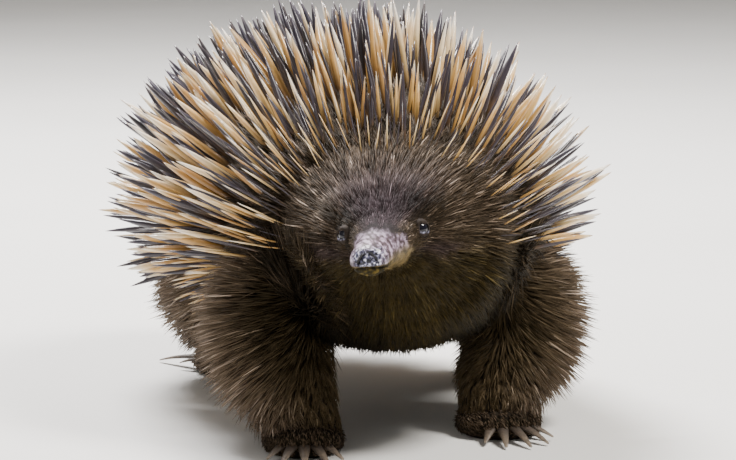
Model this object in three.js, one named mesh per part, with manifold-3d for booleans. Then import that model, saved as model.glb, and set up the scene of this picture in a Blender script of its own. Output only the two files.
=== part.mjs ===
// A short-beaked echidna, life size, standing on the floor with its head turned a little to its right.
// Millimetres, +Z up, the animal faces -Y. The origin is on the floor under the middle of its outline.
import * as THREE from "three";
import { mergeVertices } from "three/addons/utils/BufferGeometryUtils.js";
import Module from "manifold-3d";

const wasm = await Module();
wasm.setup();
const { Manifold, Mesh } = wasm;

// Gap between one node and the next
const GAP = 0.3;
// Small step along a surface for its directions
const STEP = 0.03;

// Middle of the outline seen from above, in the positions below
const CENTRE = { x: -8.8, y: 5.6 };

// The body from the tip of the snout to the tip of the tail. Each station is a section square to the
// body's line: its middle, half its width, its height above and its depth below that middle, the
// power of its rounding (2 is an ellipse) and its roll in degrees, right side down.
const BODY = [
  { at: [-40.4, -204.6, 106.1], half: 3.2, above: 2.7, below: 2.6, power: 2, roll: 5 },
  { at: [-40.0, -203.4, 106.1], half: 6.2, above: 5.2, below: 5.0, power: 2, roll: 5 },
  { at: [-38.9, -199.9, 106.1], half: 8.4, above: 7.0, below: 6.9, power: 2, roll: 5 },
  { at: [-36.1, -191.4, 106.4], half: 9.0, above: 7.6, below: 7.7, power: 2, roll: 5 },
  { at: [-32.0, -179.0, 106.8], half: 9.8, above: 8.3, below: 8.6, power: 2, roll: 5 },
  { at: [-27.7, -166.0, 107.2], half: 11.8, above: 9.8, below: 10.6, power: 2, roll: 5 },
  { at: [-24.2, -153.5, 107.5], half: 15.6, above: 12.4, below: 13.2, power: 2, roll: 5 },
  { at: [-22.3, -145.0, 107.6], half: 22.0, above: 17.0, below: 18.0, power: 2, roll: 5 },
  { at: [-19.3, -133.5, 107.0], half: 32.0, above: 25.5, below: 26.5, power: 2.1, roll: 4 },
  { at: [-14.8, -117.5, 105.5], half: 45.0, above: 35.5, below: 40.0, power: 2.1, roll: 3 },
  { at: [-9.2, -97.5, 103.5], half: 57.0, above: 45.0, below: 53.0, power: 2.2, roll: 2 },
  { at: [-5.0, -70.0, 102.0], half: 67.5, above: 52.0, below: 59.0, power: 2.1, roll: 0 },
  { at: [-3.0, -35.0, 101.5], half: 76.0, above: 58.0, below: 60.0, power: 2.05, roll: 0 },
  { at: [-5.0, 5.0, 101.0], half: 81.5, above: 61.5, below: 60.0, power: 2.05, roll: 0 },
  { at: [-9.5, 45.0, 101.0], half: 82.5, above: 61.5, below: 59.0, power: 2.05, roll: 0 },
  { at: [-15.0, 85.0, 100.0], half: 78.5, above: 57.5, below: 56.0, power: 2.05, roll: 0 },
  { at: [-20.5, 118.0, 97.0], half: 67.5, above: 49.0, below: 47.0, power: 2.1, roll: 0 },
  { at: [-25.5, 143.0, 92.0], half: 49.0, above: 36.5, below: 33.0, power: 2.1, roll: 0 },
  { at: [-29.0, 160.0, 87.0], half: 28.5, above: 23.5, below: 19.0, power: 2, roll: 0 },
  { at: [-31.3, 171.0, 82.5], half: 18.0, above: 15.5, below: 13.5, power: 2, roll: 0 },
  { at: [-33.2, 181.0, 78.5], half: 13.0, above: 11.0, below: 10.5, power: 2, roll: 0 },
  { at: [-34.4, 188.0, 75.5], half: 6.0, above: 5.5, below: 5.0, power: 2, roll: 0 },
];
const SNOUT_TIP = 0;
const SNOUT_ROOT = 5.6;
const HEAD_BACK = 10.3;
const TAIL_ROOT = 18.4;
const TAIL_TIP = BODY.length - 1;

// Sides and steps of the body's facets
const BODY_SIDES = 24;
const SNOUT_SIDES = 16;
const TAIL_SIDES = 12;

// Eyes: the body station and the angle above its widest line where they sit, how far the middle of the
// ball lies under the skin, and the lids with their almond opening
const EYE = { station: 6.7, angle: 15, deep: 2.4, radius: 4.3, sides: 10 };
const LID = { radius: 5.6, height: 5.15, opening: [3.0, 2.1, 7], tilt: 12 };

// Nostrils and mouth near the tip of the snout
const NOSTRIL = { station: 1.9, angle: 58, half: [1.0, 2.5, 1.6], splay: 24 };
const MOUTH = { station: 0.9, drop: 3.6, half: [5.2, 5.0, 0.55] };

// Limbs: each is a line of middles with half its width and half its depth, from inside the body down
// to the wrist. The animal is in mid step, so the two sides differ.
const LIMBS = {
  front_right: {
    line: [
      { at: [-46, -52, 84], half: [22, 27] },
      { at: [-59, -58, 62], half: [27, 28] },
      { at: [-59, -72, 42], half: [25, 24] },
      { at: [-54, -86, 24], half: [21.5, 19.5] },
      { at: [-52, -92, 13], half: [20, 18] },
      { at: [-51, -94, 4], half: [18, 17] },
    ],
    paw: { at: [-52, -97, 6], half: [20.5, 21, 11], turn: -8, claws: [15, 21, 24, 22, 16], spread: 17 },
  },
  front_left: {
    line: [
      { at: [46, -38, 84], half: [22, 27] },
      { at: [60, -40, 62], half: [27, 28] },
      { at: [60, -48, 42], half: [24.5, 24] },
      { at: [51, -60, 24], half: [22.5, 20] },
      { at: [48.5, -66, 13], half: [21, 19] },
      { at: [48, -68, 4], half: [19.5, 18] },
    ],
    paw: { at: [47.5, -71, 6], half: [22, 21, 11], turn: 10, claws: [16, 22, 24, 21, 15], spread: 17 },
  },
  hind_right: {
    line: [
      { at: [-58, 76, 84], half: [25, 36] },
      { at: [-68, 84, 62], half: [26, 33] },
      { at: [-66, 93, 40], half: [21, 25] },
      { at: [-62, 100, 22], half: [14.5, 16] },
      { at: [-61, 104, 12], half: [13, 14] },
      { at: [-61, 105, 4], half: [12, 13] },
    ],
    paw: { at: [-63, 110, 5.5], half: [15, 20, 9], turn: -160, claws: [8, 12, 18, 32, 10], spread: 19 },
  },
  hind_left: {
    line: [
      { at: [46, 46, 84], half: [25, 36] },
      { at: [61, 50, 62], half: [26, 33] },
      { at: [67, 56, 40], half: [21, 25] },
      { at: [69, 62, 22], half: [14.5, 16] },
      { at: [69, 66, 12], half: [13, 14] },
      { at: [69, 67, 4], half: [12, 13] },
    ],
    paw: { at: [71, 72, 5.5], half: [15, 20, 9], turn: 158, claws: [10, 32, 18, 12, 8], spread: 19 },
  },
};
const LIMB_SIDES = 12;
const PAW_SIDES = 10;
const WRIST_HEIGHT = 17;
const CLAW = {
  half_wide: 3,
  half_thick: 1.6,
  sunk: 5,
  inset: 3.2,
  crowd: 0.4,
  height: 6.6,
  droop: 0.3,
  clear: 1.14,
  thinning: 0.78,
  thinning_power: 1.6,
  smallest: 0.75,
  growth: 0.3,
  full_length: 16,
  sides: 6,
};

// Spines: spacing of their roots, length, half thickness, how deep the root is sunk and the lean
// towards the tail in degrees, at the shoulders, over the back and at the rump
const SPINE = {
  spacing: 16.5,
  row_step: 0.87,
  length: 46,
  radius: 1.9,
  root_radius: 1.6,
  belly: 0.34,
  sunk: 7,
  lean: [28, 38, 46],
  loose: 0.16,
  sides: 4,
};
// How far roots stray along and round the body, and the range of lengths and of thicknesses
const SPINE_SPREAD = { along: 0.12, round: 0.07, length: [0.88, 1.12], size: [0.85, 1.15] };
// Share of the full length at the first row, loss towards the rump, and share low and high on the back
const SPINE_SHARE = { first: 0.6, full_by: 0.9, rump_loss: 0.42, rump_from: 0.6, low: 0.92, high: 1.08 };
const SPINES_START = 10.6;
const SPINES_END = 18.15;
const TAIL_SPINES = [19.05, 20.5];
// Lowest roots of the spines, in degrees below the body's widest line, at the shoulders, middle and rump
const SPINE_EDGE = [10, 24, 42];

// Long hair as flat locks: length, half width, half thickness and how deep the root is sunk
const LOCK = {
  length: 24,
  half_wide: 4.6,
  half_thick: 1.0,
  sunk: 4,
  narrowing: 0.8,
  narrowing_power: 1.5,
  tip: 0.12,
  shortest: 0.85,
  steps: 3,
};
const DOWN = new THREE.Vector3(0, 0, -1);
// Rows of locks on the flanks: degrees below the widest line, first and last station, count, size
const FLANK_ROWS = [
  { below: 38, from: 11.3, to: 14.6, count: 8, size: 1 },
  { below: 54, from: 11.7, to: 16.6, count: 7, size: 0.9 },
];
const FLANK_STRAY = 0.6;
// Rows of locks on a limb: station from its top, first and last angle, count, size, swing round the limb
const LIMB_ROWS = [
  { station: 1.15, from: -60, to: 100, count: 4, size: 1, swing: 0.7 },
  { station: 1.9, from: -80, to: 120, count: 3, size: 0.95, swing: 0.5 },
  { station: 2.7, from: -60, to: 150, count: 3, size: 0.8, swing: 0.25 },
];
const LIMB_STRAY = { along: 0.24, round: 0.4 };

const COLOURS = {
  spiny_back: { color: 0x8a6a44, roughness: 0.55 },
  fur: { color: 0x2e241d, roughness: 0.9 },
  snout_skin: { color: 0x8d7f7c, roughness: 0.45 },
  eye: { color: 0x08080a, roughness: 0.08 },
  claw: { color: 0x3a322c, roughness: 0.5 },
};

// Even random numbers from 0 to 1, the same on each run
function seeded(seed) {
  let state = seed;
  return () => {
    state = (state + 0x6d2b79f5) | 0;
    let t = Math.imul(state ^ (state >>> 15), 1 | state);
    t = (t + Math.imul(t ^ (t >>> 7), 61 | t)) ^ t;
    return ((t ^ (t >>> 14)) >>> 0) / 4294967296;
  };
}

const radians = THREE.MathUtils.degToRad;
const vector = (p) => new THREE.Vector3(...p);

// A smooth curve through numbers at whole parameters (uniform Catmull-Rom)
function smooth(values, u) {
  const last = values.length - 1;
  const i = Math.min(Math.floor(u), last - 1);
  const f = u - i;
  const [a, b, c, d] = [i - 1, i, i + 1, i + 2].map((k) => values[THREE.MathUtils.clamp(k, 0, last)]);
  return 0.5 * (2 * b + (c - a) * f + (2 * a - 5 * b + 4 * c - d) * f * f + (3 * b - a - 3 * c + d) * f ** 3);
}

// Middle of a line of stations at parameter u
function middleOf(stations, u) {
  return new THREE.Vector3(...[0, 1, 2].map((k) => smooth(stations.map((s) => s.at[k]), u)));
}

// Direction of a line of stations at parameter u
function directionOf(stations, u) {
  const after = middleOf(stations, Math.min(u + STEP, stations.length - 1));
  return after.sub(middleOf(stations, Math.max(u - STEP, 0))).normalize();
}

// The section of the body at parameter u: its middle, axes and sizes
function section(u) {
  const of = (read) => smooth(BODY.map(read), u);
  const along = directionOf(BODY, u);
  const level = new THREE.Vector3().crossVectors(along, new THREE.Vector3(0, 0, 1)).normalize();
  const upright = new THREE.Vector3().crossVectors(level, along);
  const roll = radians(of((s) => s.roll));
  const side = level.clone().multiplyScalar(Math.cos(roll)).addScaledVector(upright, Math.sin(roll));
  const up = upright.multiplyScalar(Math.cos(roll)).addScaledVector(level, -Math.sin(roll));
  return {
    middle: middleOf(BODY, u),
    along,
    side,
    up,
    half: of((s) => s.half),
    above: of((s) => s.above),
    below: of((s) => s.below),
    power: of((s) => s.power),
  };
}

// A point of the body's surface: u along it, angle round it (0 on its left side, 90 on top), grown outwards
function bodyPoint(u, angle, grow = 0, s = section(u)) {
  const c = Math.cos(angle);
  const n = Math.sin(angle);
  const bulge = (v) => Math.sign(v) * Math.abs(v) ** (2 / s.power);
  const height = n > 0 ? s.above : s.below;
  return s.middle
    .clone()
    .addScaledVector(s.side, (s.half + grow) * bulge(c))
    .addScaledVector(s.up, (height + grow) * bulge(n));
}

// Outward normal and tailward direction of the body's surface
function bodyFrame(u, angle) {
  const tailward = bodyPoint(u + STEP, angle).sub(bodyPoint(u - STEP, angle)).normalize();
  const round = bodyPoint(u, angle + STEP).sub(bodyPoint(u, angle - STEP)).normalize();
  const normal = new THREE.Vector3().crossVectors(tailward, round).negate().normalize();
  const outward = bodyPoint(u, angle).sub(section(u).middle);
  if (normal.dot(outward) < 0) normal.negate();
  return { normal, tailward };
}

// A closed surface through rings of points, with a flat fan or a point at each end
function loft(rings) {
  const sides = rings[0].length;
  const positions = rings.flat().flatMap((p) => p.toArray());
  const index = [];
  for (let r = 0; r + 1 < rings.length; r += 1) {
    for (let k = 0; k < sides; k += 1) {
      const [a, b] = [r * sides + k, r * sides + ((k + 1) % sides)];
      index.push(a, b, b + sides, a, b + sides, a + sides);
    }
  }
  const ends = [
    [rings[0], 0, true],
    [rings.at(-1), (rings.length - 1) * sides, false],
  ];
  for (const [ring, first, turned] of ends) {
    const middle = ring.reduce((sum, p) => sum.add(p), new THREE.Vector3()).divideScalar(sides);
    const hub = positions.length / 3;
    positions.push(...middle.toArray());
    for (let k = 0; k < sides; k += 1) {
      const [a, b] = [first + k, first + ((k + 1) % sides)];
      index.push(...(turned ? [hub, b, a] : [hub, a, b]));
    }
  }
  const geometry = new THREE.BufferGeometry();
  geometry.setAttribute("position", new THREE.Float32BufferAttribute(positions, 3));
  geometry.setIndex(index);
  return geometry;
}

// A closed three.js geometry as a solid that can be joined and cut
function solid(geometry) {
  const bare = new THREE.BufferGeometry();
  bare.setAttribute("position", geometry.getAttribute("position"));
  bare.setIndex(geometry.getIndex());
  const merged = mergeVertices(bare, 1e-4);
  const vertProperties = new Float32Array(merged.getAttribute("position").array);
  const triVerts = new Uint32Array(merged.getIndex().array);
  const made = new Manifold(new Mesh({ numProp: 3, vertProperties, triVerts }));
  if (made.volume() > 0) return made;
  for (let i = 0; i < triVerts.length; i += 3) {
    [triVerts[i + 1], triVerts[i + 2]] = [triVerts[i + 2], triVerts[i + 1]];
  }
  return new Manifold(new Mesh({ numProp: 3, vertProperties, triVerts }));
}

// The largest closed surface of a solid, which drops loose scraps
function largest(body) {
  return body.decompose().reduce((best, part) => (part.volume() > best.volume() ? part : best));
}

// A sphere with three half sizes, turned by a matrix and set at a point
function ball(at, half, basis = new THREE.Matrix4(), sides = 16) {
  const geometry = new THREE.SphereGeometry(1, sides, Math.round(sides / 2));
  geometry.scale(...half).applyMatrix4(basis).translate(...at.toArray());
  return solid(geometry);
}

// A length of the body between two parameters, with flat ends
function bodyLength(from, to, steps, sides, grow = 0) {
  const rings = [];
  for (let i = 0; i <= steps; i += 1) {
    const u = from + ((to - from) * i) / steps;
    const s = section(u);
    rings.push(Array.from({ length: sides }, (_, k) => bodyPoint(u, (2 * Math.PI * k) / sides, grow, s)));
  }
  return solid(loft(rings));
}

// How much of a station is one gap at parameter u
function gapAt(u) {
  return (GAP * 2 * STEP) / middleOf(BODY, u + STEP).distanceTo(middleOf(BODY, u - STEP));
}

// The section of a limb at parameter u, square to its line
function limbSection(line, u) {
  const down = directionOf(line, u);
  const side = new THREE.Vector3(1, 0, 0).addScaledVector(down, -down.x).normalize();
  const fore = new THREE.Vector3().crossVectors(down, side);
  const half = [0, 1].map((k) => smooth(line.map((s) => s.half[k]), u));
  return { middle: middleOf(line, u), down, side, fore, half };
}

function limbPoint(line, u, angle, grow = 0) {
  const s = limbSection(line, u);
  return s.middle
    .clone()
    .addScaledVector(s.side, (s.half[0] + grow) * Math.cos(angle))
    .addScaledVector(s.fore, (s.half[1] + grow) * Math.sin(angle));
}

// A whole limb from inside the body to the floor
function limbSolid(line, grow = 0) {
  const steps = 10;
  const rings = Array.from({ length: steps + 1 }, (_, i) => {
    const u = ((line.length - 1) * i) / steps;
    const angles = Array.from({ length: LIMB_SIDES }, (_, k) => (2 * Math.PI * k) / LIMB_SIDES);
    return angles.map((angle) => limbPoint(line, u, angle, grow));
  });
  return solid(loft(rings));
}

// Forward direction of a paw, turned from -Y about the upright axis
function heading(turn) {
  return new THREE.Vector3(Math.sin(radians(turn)), -Math.cos(radians(turn)), 0);
}

// The paw below the wrist: the limb's end and a flattened ball, flat underneath
function pawSolid(limb, grow = 0) {
  const { paw, line } = limb;
  const basis = new THREE.Matrix4().makeRotationZ(radians(paw.turn));
  const halves = paw.half.map((h) => h + grow);
  const top = WRIST_HEIGHT - GAP / 2 + grow;
  return limbSolid(line, grow)
    .add(ball(vector(paw.at), halves, basis, PAW_SIDES))
    .trimByPlane([0, 0, -1], -top)
    .trimByPlane([0, 0, 1], 0);
}

// One claw: a tapering, drooping horn that starts inside the paw
function clawSolid(start, direction, length, size) {
  const fractions = [0, 0.23, 0.46, 0.68, 0.91];
  const sideways = new THREE.Vector3(-direction.y, direction.x, 0);
  const whole = CLAW.sunk + length;
  const drop = Math.min(CLAW.droop * length, start.z - CLAW.clear);
  const rings = fractions.map((f) => {
    const middle = start
      .clone()
      .addScaledVector(direction, whole * f - CLAW.sunk)
      .add(new THREE.Vector3(0, 0, -drop * f * f));
    const thin = 1 - CLAW.thinning * f ** CLAW.thinning_power;
    return Array.from({ length: CLAW.sides }, (_, k) => {
      const angle = (2 * Math.PI * k) / CLAW.sides;
      return middle
        .clone()
        .addScaledVector(sideways, CLAW.half_wide * size * thin * Math.cos(angle))
        .add(new THREE.Vector3(0, 0, CLAW.half_thick * size * thin * Math.sin(angle)));
    });
  });
  return solid(loft(rings));
}

// The five claws of a paw, fanned about its heading and cut clear of it
function clawSolids(limb) {
  const { paw } = limb;
  const cleared = pawSolid(limb, GAP);
  return paw.claws.map((length, i) => {
    const direction = heading(paw.turn + (i - 2) * paw.spread);
    const across = new THREE.Vector3(-heading(paw.turn).y, heading(paw.turn).x, 0);
    const start = vector([paw.at[0], paw.at[1], CLAW.height])
      .addScaledVector(direction, paw.half[1] - CLAW.inset)
      .addScaledVector(across, (2 - i) * CLAW.crowd);
    const size = CLAW.smallest + CLAW.growth * Math.min(length / CLAW.full_length, 1);
    return largest(clawSolid(start, direction, length, size).subtract(cleared));
  });
}

// The way that a straight piece points: out from the surface, leaning by so many degrees
function leaning(frame, lean, random, loose) {
  const spread = () => (random() - 0.5) * 2 * loose;
  return frame.normal
    .clone()
    .multiplyScalar(Math.cos(radians(lean)))
    .addScaledVector(frame.tailward, Math.sin(radians(lean)))
    .add(new THREE.Vector3(spread(), spread(), spread()))
    .normalize();
}

// One spine: a slim spindle on a sunk root, made by turning its half outline
function spineSolid(root, direction, length, size, grow = 0) {
  const outline = [
    [0, -SPINE.sunk],
    [SPINE.root_radius * size + grow, -SPINE.sunk],
    [SPINE.radius * size + grow, SPINE.belly * length],
    [0, length + grow],
  ].map((p) => new THREE.Vector2(...p));
  const geometry = new THREE.LatheGeometry(outline, SPINE.sides);
  const turn = new THREE.Quaternion().setFromUnitVectors(new THREE.Vector3(0, 1, 0), direction);
  geometry.applyQuaternion(turn).translate(...root.toArray());
  return solid(geometry);
}

// Angles round the section at u, from one to another, at even distances along the skin
function evenAngles(u, from, to, spacing, offset) {
  const s = section(u);
  const fine = 60;
  const angles = Array.from({ length: fine + 1 }, (_, i) => from + ((to - from) * i) / fine);
  const points = angles.map((a) => bodyPoint(u, a, 0, s));
  const lengths = [0];
  for (let i = 1; i <= fine; i += 1) {
    lengths.push(lengths[i - 1] + points[i].distanceTo(points[i - 1]));
  }
  const total = lengths[fine];
  const count = Math.max(1, Math.round(total / spacing));
  return Array.from({ length: count }, (_, k) => {
    const want = ((k + offset) / count) * total;
    const i = Math.max(1, lengths.findIndex((l) => l >= want));
    const share = (want - lengths[i - 1]) / (lengths[i] - lengths[i - 1]);
    return THREE.MathUtils.lerp(angles[i - 1], angles[i], share);
  });
}

// Parameters along the body at even distances over the back
function evenRings(from, to, spacing) {
  const top = Math.PI / 2;
  const rings = [from];
  while (rings.at(-1) <= to) {
    const u = rings.at(-1);
    const run = bodyPoint(u + STEP, top).distanceTo(bodyPoint(u - STEP, top));
    rings.push(u + (2 * STEP * spacing) / run);
  }
  return rings.slice(0, -1);
}

// A value at parameter u, smooth between its values at the shoulders, over the back and at the rump
function fromShoulders(values, u) {
  const share = (u - SPINES_START) / (SPINES_END - SPINES_START);
  return smooth(values, (values.length - 1) * THREE.MathUtils.clamp(share, 0, 1));
}

// A random number within a range
const within = ([low, high], random) => THREE.MathUtils.lerp(low, high, random());

// Length of a spine before its random share, short at the first row, at the rump and low on the flank
function spineLength(u, angle) {
  const share = SPINE_SHARE;
  const grown = THREE.MathUtils.smoothstep(u, SPINES_START, SPINES_START + share.full_by);
  const rump = THREE.MathUtils.smoothstep(u, SPINES_END - share.rump_from, TAIL_SPINES[0]);
  const high = Math.max(Math.sin(angle), 0);
  const front = THREE.MathUtils.lerp(share.first, 1, grown);
  const rise = THREE.MathUtils.lerp(share.low, share.high, high);
  return SPINE.length * front * rise * (1 - share.rump_loss * rump);
}

// All spines of the body between two parameters
function bodySpines(from, to, random, grow = 0) {
  const { along, round, length, size } = SPINE_SPREAD;
  return evenRings(from, to, SPINE.spacing * SPINE.row_step).flatMap((u, row) => {
    const edge = radians(fromShoulders(SPINE_EDGE, u));
    const angles = evenAngles(u, -edge, Math.PI + edge, SPINE.spacing, row % 2 ? 0.25 : 0.75);
    return angles.map((angle) => {
      const at = [u + (random() - 0.5) * along, angle + (random() - 0.5) * round];
      const long = spineLength(u, angle) * within(length, random);
      const direction = leaning(bodyFrame(...at), fromShoulders(SPINE.lean, u), random, SPINE.loose);
      return spineSolid(bodyPoint(...at), direction, long, within(size, random), grow);
    });
  });
}

// One lock of hair: a flat, tapering blade that bends from one direction to another
function lockSolid(root, first, last, normal, size, random, grow = 0) {
  const length = LOCK.length * size * within([LOCK.shortest, 2 - LOCK.shortest], random);
  const middle = root.clone().addScaledVector(first, -LOCK.sunk);
  const rings = [];
  for (let i = 0; i < LOCK.steps; i += 1) {
    const f = i / LOCK.steps;
    const way = first.clone().lerp(last, f).normalize();
    const flat = new THREE.Vector3().crossVectors(way, normal).normalize();
    const thick = new THREE.Vector3().crossVectors(flat, way);
    const share = size * (1 - LOCK.narrowing * f ** LOCK.narrowing_power);
    const [wide, deep] = [LOCK.half_wide, LOCK.half_thick].map((half) => half * share + grow);
    rings.push([
      middle.clone().addScaledVector(flat, wide),
      middle.clone().addScaledVector(thick, deep),
      middle.clone().addScaledVector(flat, -wide),
      middle.clone().addScaledVector(thick, -deep),
    ]);
    middle.addScaledVector(way, (length + LOCK.sunk) / LOCK.steps);
  }
  const narrow = LOCK.tip + grow;
  const towards = (p) => p.clone().sub(middle).normalize();
  rings.push(rings.at(-1).map((p) => middle.clone().addScaledVector(towards(p), narrow)));
  return solid(loft(rings));
}

// Sum of three directions by their shares, as a direction
function blend(a, shareA, b, shareB, c, shareC) {
  return new THREE.Vector3()
    .addScaledVector(a, shareA)
    .addScaledVector(b, shareB)
    .addScaledVector(c, shareC)
    .normalize();
}

// Locks in rows along both flanks, lying back and down
function flankLocks(random, grow = 0) {
  const lock = (row, side, i) => {
    const u = row.from + ((row.to - row.from) * (i + FLANK_STRAY * random())) / row.count;
    const angle = side > 0 ? -radians(row.below) : Math.PI + radians(row.below);
    const { normal, tailward } = bodyFrame(u, angle);
    const first = blend(normal, 1, tailward, 0.7, DOWN, 0.2);
    const last = blend(normal, 0.25, tailward, 1, DOWN, 0.9);
    return lockSolid(bodyPoint(u, angle), first, last, normal, row.size, random, grow);
  };
  return FLANK_ROWS.flatMap((row) =>
    [-1, 1].flatMap((side) => Array.from({ length: row.count }, (_, i) => lock(row, side, i))),
  );
}

// Locks in rows round the outer side of a limb, lying back round it and hanging down
function limbLocks(line, random, grow = 0) {
  const outer = Math.sign(line[0].at[0]);
  const back = new THREE.Vector3(outer, 1, 0);
  const lock = (row, i) => {
    const share = (i + 0.5 + LIMB_STRAY.round * (random() - 0.5)) / row.count;
    const turn = radians(THREE.MathUtils.lerp(row.from, row.to, share));
    const angle = outer > 0 ? -turn : Math.PI + turn;
    const u = row.station + LIMB_STRAY.along * (random() - 0.5);
    const root = limbPoint(line, u, angle);
    const { middle, down } = limbSection(line, u);
    const normal = root.clone().sub(middle).normalize();
    const round = back.clone().addScaledVector(normal, -back.dot(normal));
    const first = blend(normal, 0.75, down, 1, round, row.swing);
    const last = blend(normal, 0.12, down, 1, round, row.swing);
    return lockSolid(root, first, last, normal, row.size, random, grow);
  };
  return LIMB_ROWS.flatMap((row) => Array.from({ length: row.count }, (_, i) => lock(row, i)));
}

// Axes at an eye: x across it, y up it and z out of it
function eyeBasis(side) {
  const angle = side > 0 ? radians(EYE.angle) : Math.PI - radians(EYE.angle);
  const { normal } = bodyFrame(EYE.station, angle);
  const at = bodyPoint(EYE.station, angle).addScaledVector(normal, -EYE.deep);
  const up = section(EYE.station).up;
  const across = new THREE.Vector3().crossVectors(up, normal).normalize();
  const upright = new THREE.Vector3().crossVectors(normal, across);
  const basis = new THREE.Matrix4().makeBasis(across, upright, normal);
  return { at, basis: basis.multiply(new THREE.Matrix4().makeRotationZ(radians(side * LID.tilt))) };
}

// The head with a lid round each eye, opened over the ball
function headSolid(grow = 0) {
  let head = bodyLength(SNOUT_ROOT + gapAt(SNOUT_ROOT), HEAD_BACK, 9, BODY_SIDES, grow);
  if (grow) return head;
  for (const side of [-1, 1]) {
    const { at, basis } = eyeBasis(side);
    const lids = ball(at, [LID.radius, LID.height, LID.radius], basis, EYE.sides);
    const socket = ball(at, Array(3).fill(EYE.radius + GAP), basis, EYE.sides);
    const ahead = at.clone().addScaledVector(new THREE.Vector3().setFromMatrixColumn(basis, 2), EYE.radius);
    head = head.add(lids).subtract(socket).subtract(ball(ahead, LID.opening, basis, EYE.sides));
  }
  return head;
}

// The snout with two slit nostrils on top of its tip and the line of the mouth under it
function snoutSolid() {
  let snout = bodyLength(SNOUT_TIP, SNOUT_ROOT, 11, SNOUT_SIDES);
  for (const side of [-1, 1]) {
    const angle = Math.PI / 2 - side * radians(90 - NOSTRIL.angle);
    const { normal, tailward } = bodyFrame(NOSTRIL.station, angle);
    const across = new THREE.Vector3().crossVectors(tailward, normal).normalize();
    const basis = new THREE.Matrix4().makeBasis(across, tailward, normal);
    basis.multiply(new THREE.Matrix4().makeRotationZ(radians(side * NOSTRIL.splay)));
    snout = snout.subtract(ball(bodyPoint(NOSTRIL.station, angle), NOSTRIL.half, basis, 10));
  }
  const { middle, side, up, along } = section(MOUTH.station);
  const basis = new THREE.Matrix4().makeBasis(side, along, up);
  return snout.subtract(ball(middle.clone().addScaledVector(up, -MOUTH.drop), MOUTH.half, basis, 14));
}

// The stub of the tail with its own short spines
function tailSolid(grow = 0) {
  const stub = bodyLength(TAIL_ROOT + gapAt(TAIL_ROOT), TAIL_TIP, 4, TAIL_SIDES, grow);
  return Manifold.union([stub, ...bodySpines(...TAIL_SPINES, seeded(31), grow)]);
}

const group = new THREE.Group();
group.position.set(-CENTRE.x, -CENTRE.y, 0);

// Puts a solid in the group as one named mesh
function put(name, body, finish) {
  const mesh = largest(body).getMesh();
  const geometry = new THREE.BufferGeometry();
  geometry.setAttribute("position", new THREE.BufferAttribute(new Float32Array(mesh.vertProperties), 3));
  geometry.setIndex(new THREE.BufferAttribute(new Uint32Array(mesh.triVerts), 1));
  const made = new THREE.Mesh(geometry, new THREE.MeshStandardMaterial({ metalness: 0, ...COLOURS[finish] }));
  made.name = name;
  group.add(made);
}

const bare = (grow) => bodyLength(HEAD_BACK + gapAt(HEAD_BACK), TAIL_ROOT, 16, BODY_SIDES, grow);
const cleared = bare(GAP).add(headSolid(GAP));
const legs = Object.entries(LIMBS).map(([name, limb], i) => {
  const locks = (grow) => limbLocks(limb.line, seeded(40 + i), grow);
  return { name, limb, locks };
});
const legCutter = Manifold.union(
  legs.flatMap(({ limb, locks }) => [limbSolid(limb.line, GAP), ...locks(GAP)]),
);
const coat = Manifold.union([...bodySpines(SPINES_START, SPINES_END, seeded(11)), ...flankLocks(seeded(23))]);
const coatCutter = legCutter.add(tailSolid(GAP));

put("snout", snoutSolid(), "snout_skin");
put("head", headSolid(), "fur");
put("torso", coat.subtract(coatCutter).add(bare(0)), "spiny_back");
put("tail", tailSolid(), "spiny_back");
for (const [name, side] of [["eye_right", -1], ["eye_left", 1]]) {
  const { at, basis } = eyeBasis(side);
  put(name, ball(at, Array(3).fill(EYE.radius), basis, EYE.sides), "eye");
}
for (const { name, limb, locks } of legs) {
  const leg = Manifold.union([limbSolid(limb.line), ...locks(0)]);
  const paw = pawSolid(limb);
  const above = leg.trimByPlane([0, 0, 1], WRIST_HEIGHT + GAP / 2).subtract(cleared);
  put("leg_" + name, above, "fur");
  put("paw_" + name, paw, "fur");
  clawSolids(limb).forEach((claw, i) => put(`claw_${name}_${i + 1}`, claw, "claw"));
}

export default group;
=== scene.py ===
import math

import bpy
import numpy as np
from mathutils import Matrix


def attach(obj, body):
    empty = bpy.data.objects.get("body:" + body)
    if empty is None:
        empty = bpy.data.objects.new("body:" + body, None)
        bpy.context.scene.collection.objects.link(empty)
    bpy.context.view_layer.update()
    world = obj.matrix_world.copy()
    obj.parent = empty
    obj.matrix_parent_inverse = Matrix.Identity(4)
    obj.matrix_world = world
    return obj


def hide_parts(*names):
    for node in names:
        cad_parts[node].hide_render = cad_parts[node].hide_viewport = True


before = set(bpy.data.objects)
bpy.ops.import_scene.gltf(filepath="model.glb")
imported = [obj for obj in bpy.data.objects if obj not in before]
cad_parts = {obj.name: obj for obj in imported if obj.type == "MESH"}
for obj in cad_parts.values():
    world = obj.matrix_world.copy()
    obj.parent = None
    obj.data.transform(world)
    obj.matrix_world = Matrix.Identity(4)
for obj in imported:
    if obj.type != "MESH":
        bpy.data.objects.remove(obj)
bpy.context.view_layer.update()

# A short-beaked echidna in mid step, facing -Y. Lengths in the tables are in millimetres and become
# metres when a surface is made.
MM = 0.001
# Middle of the animal's outline seen from above, in the tables' positions
CENTRE = np.array([-8.8, 5.6, 0.0])

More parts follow.
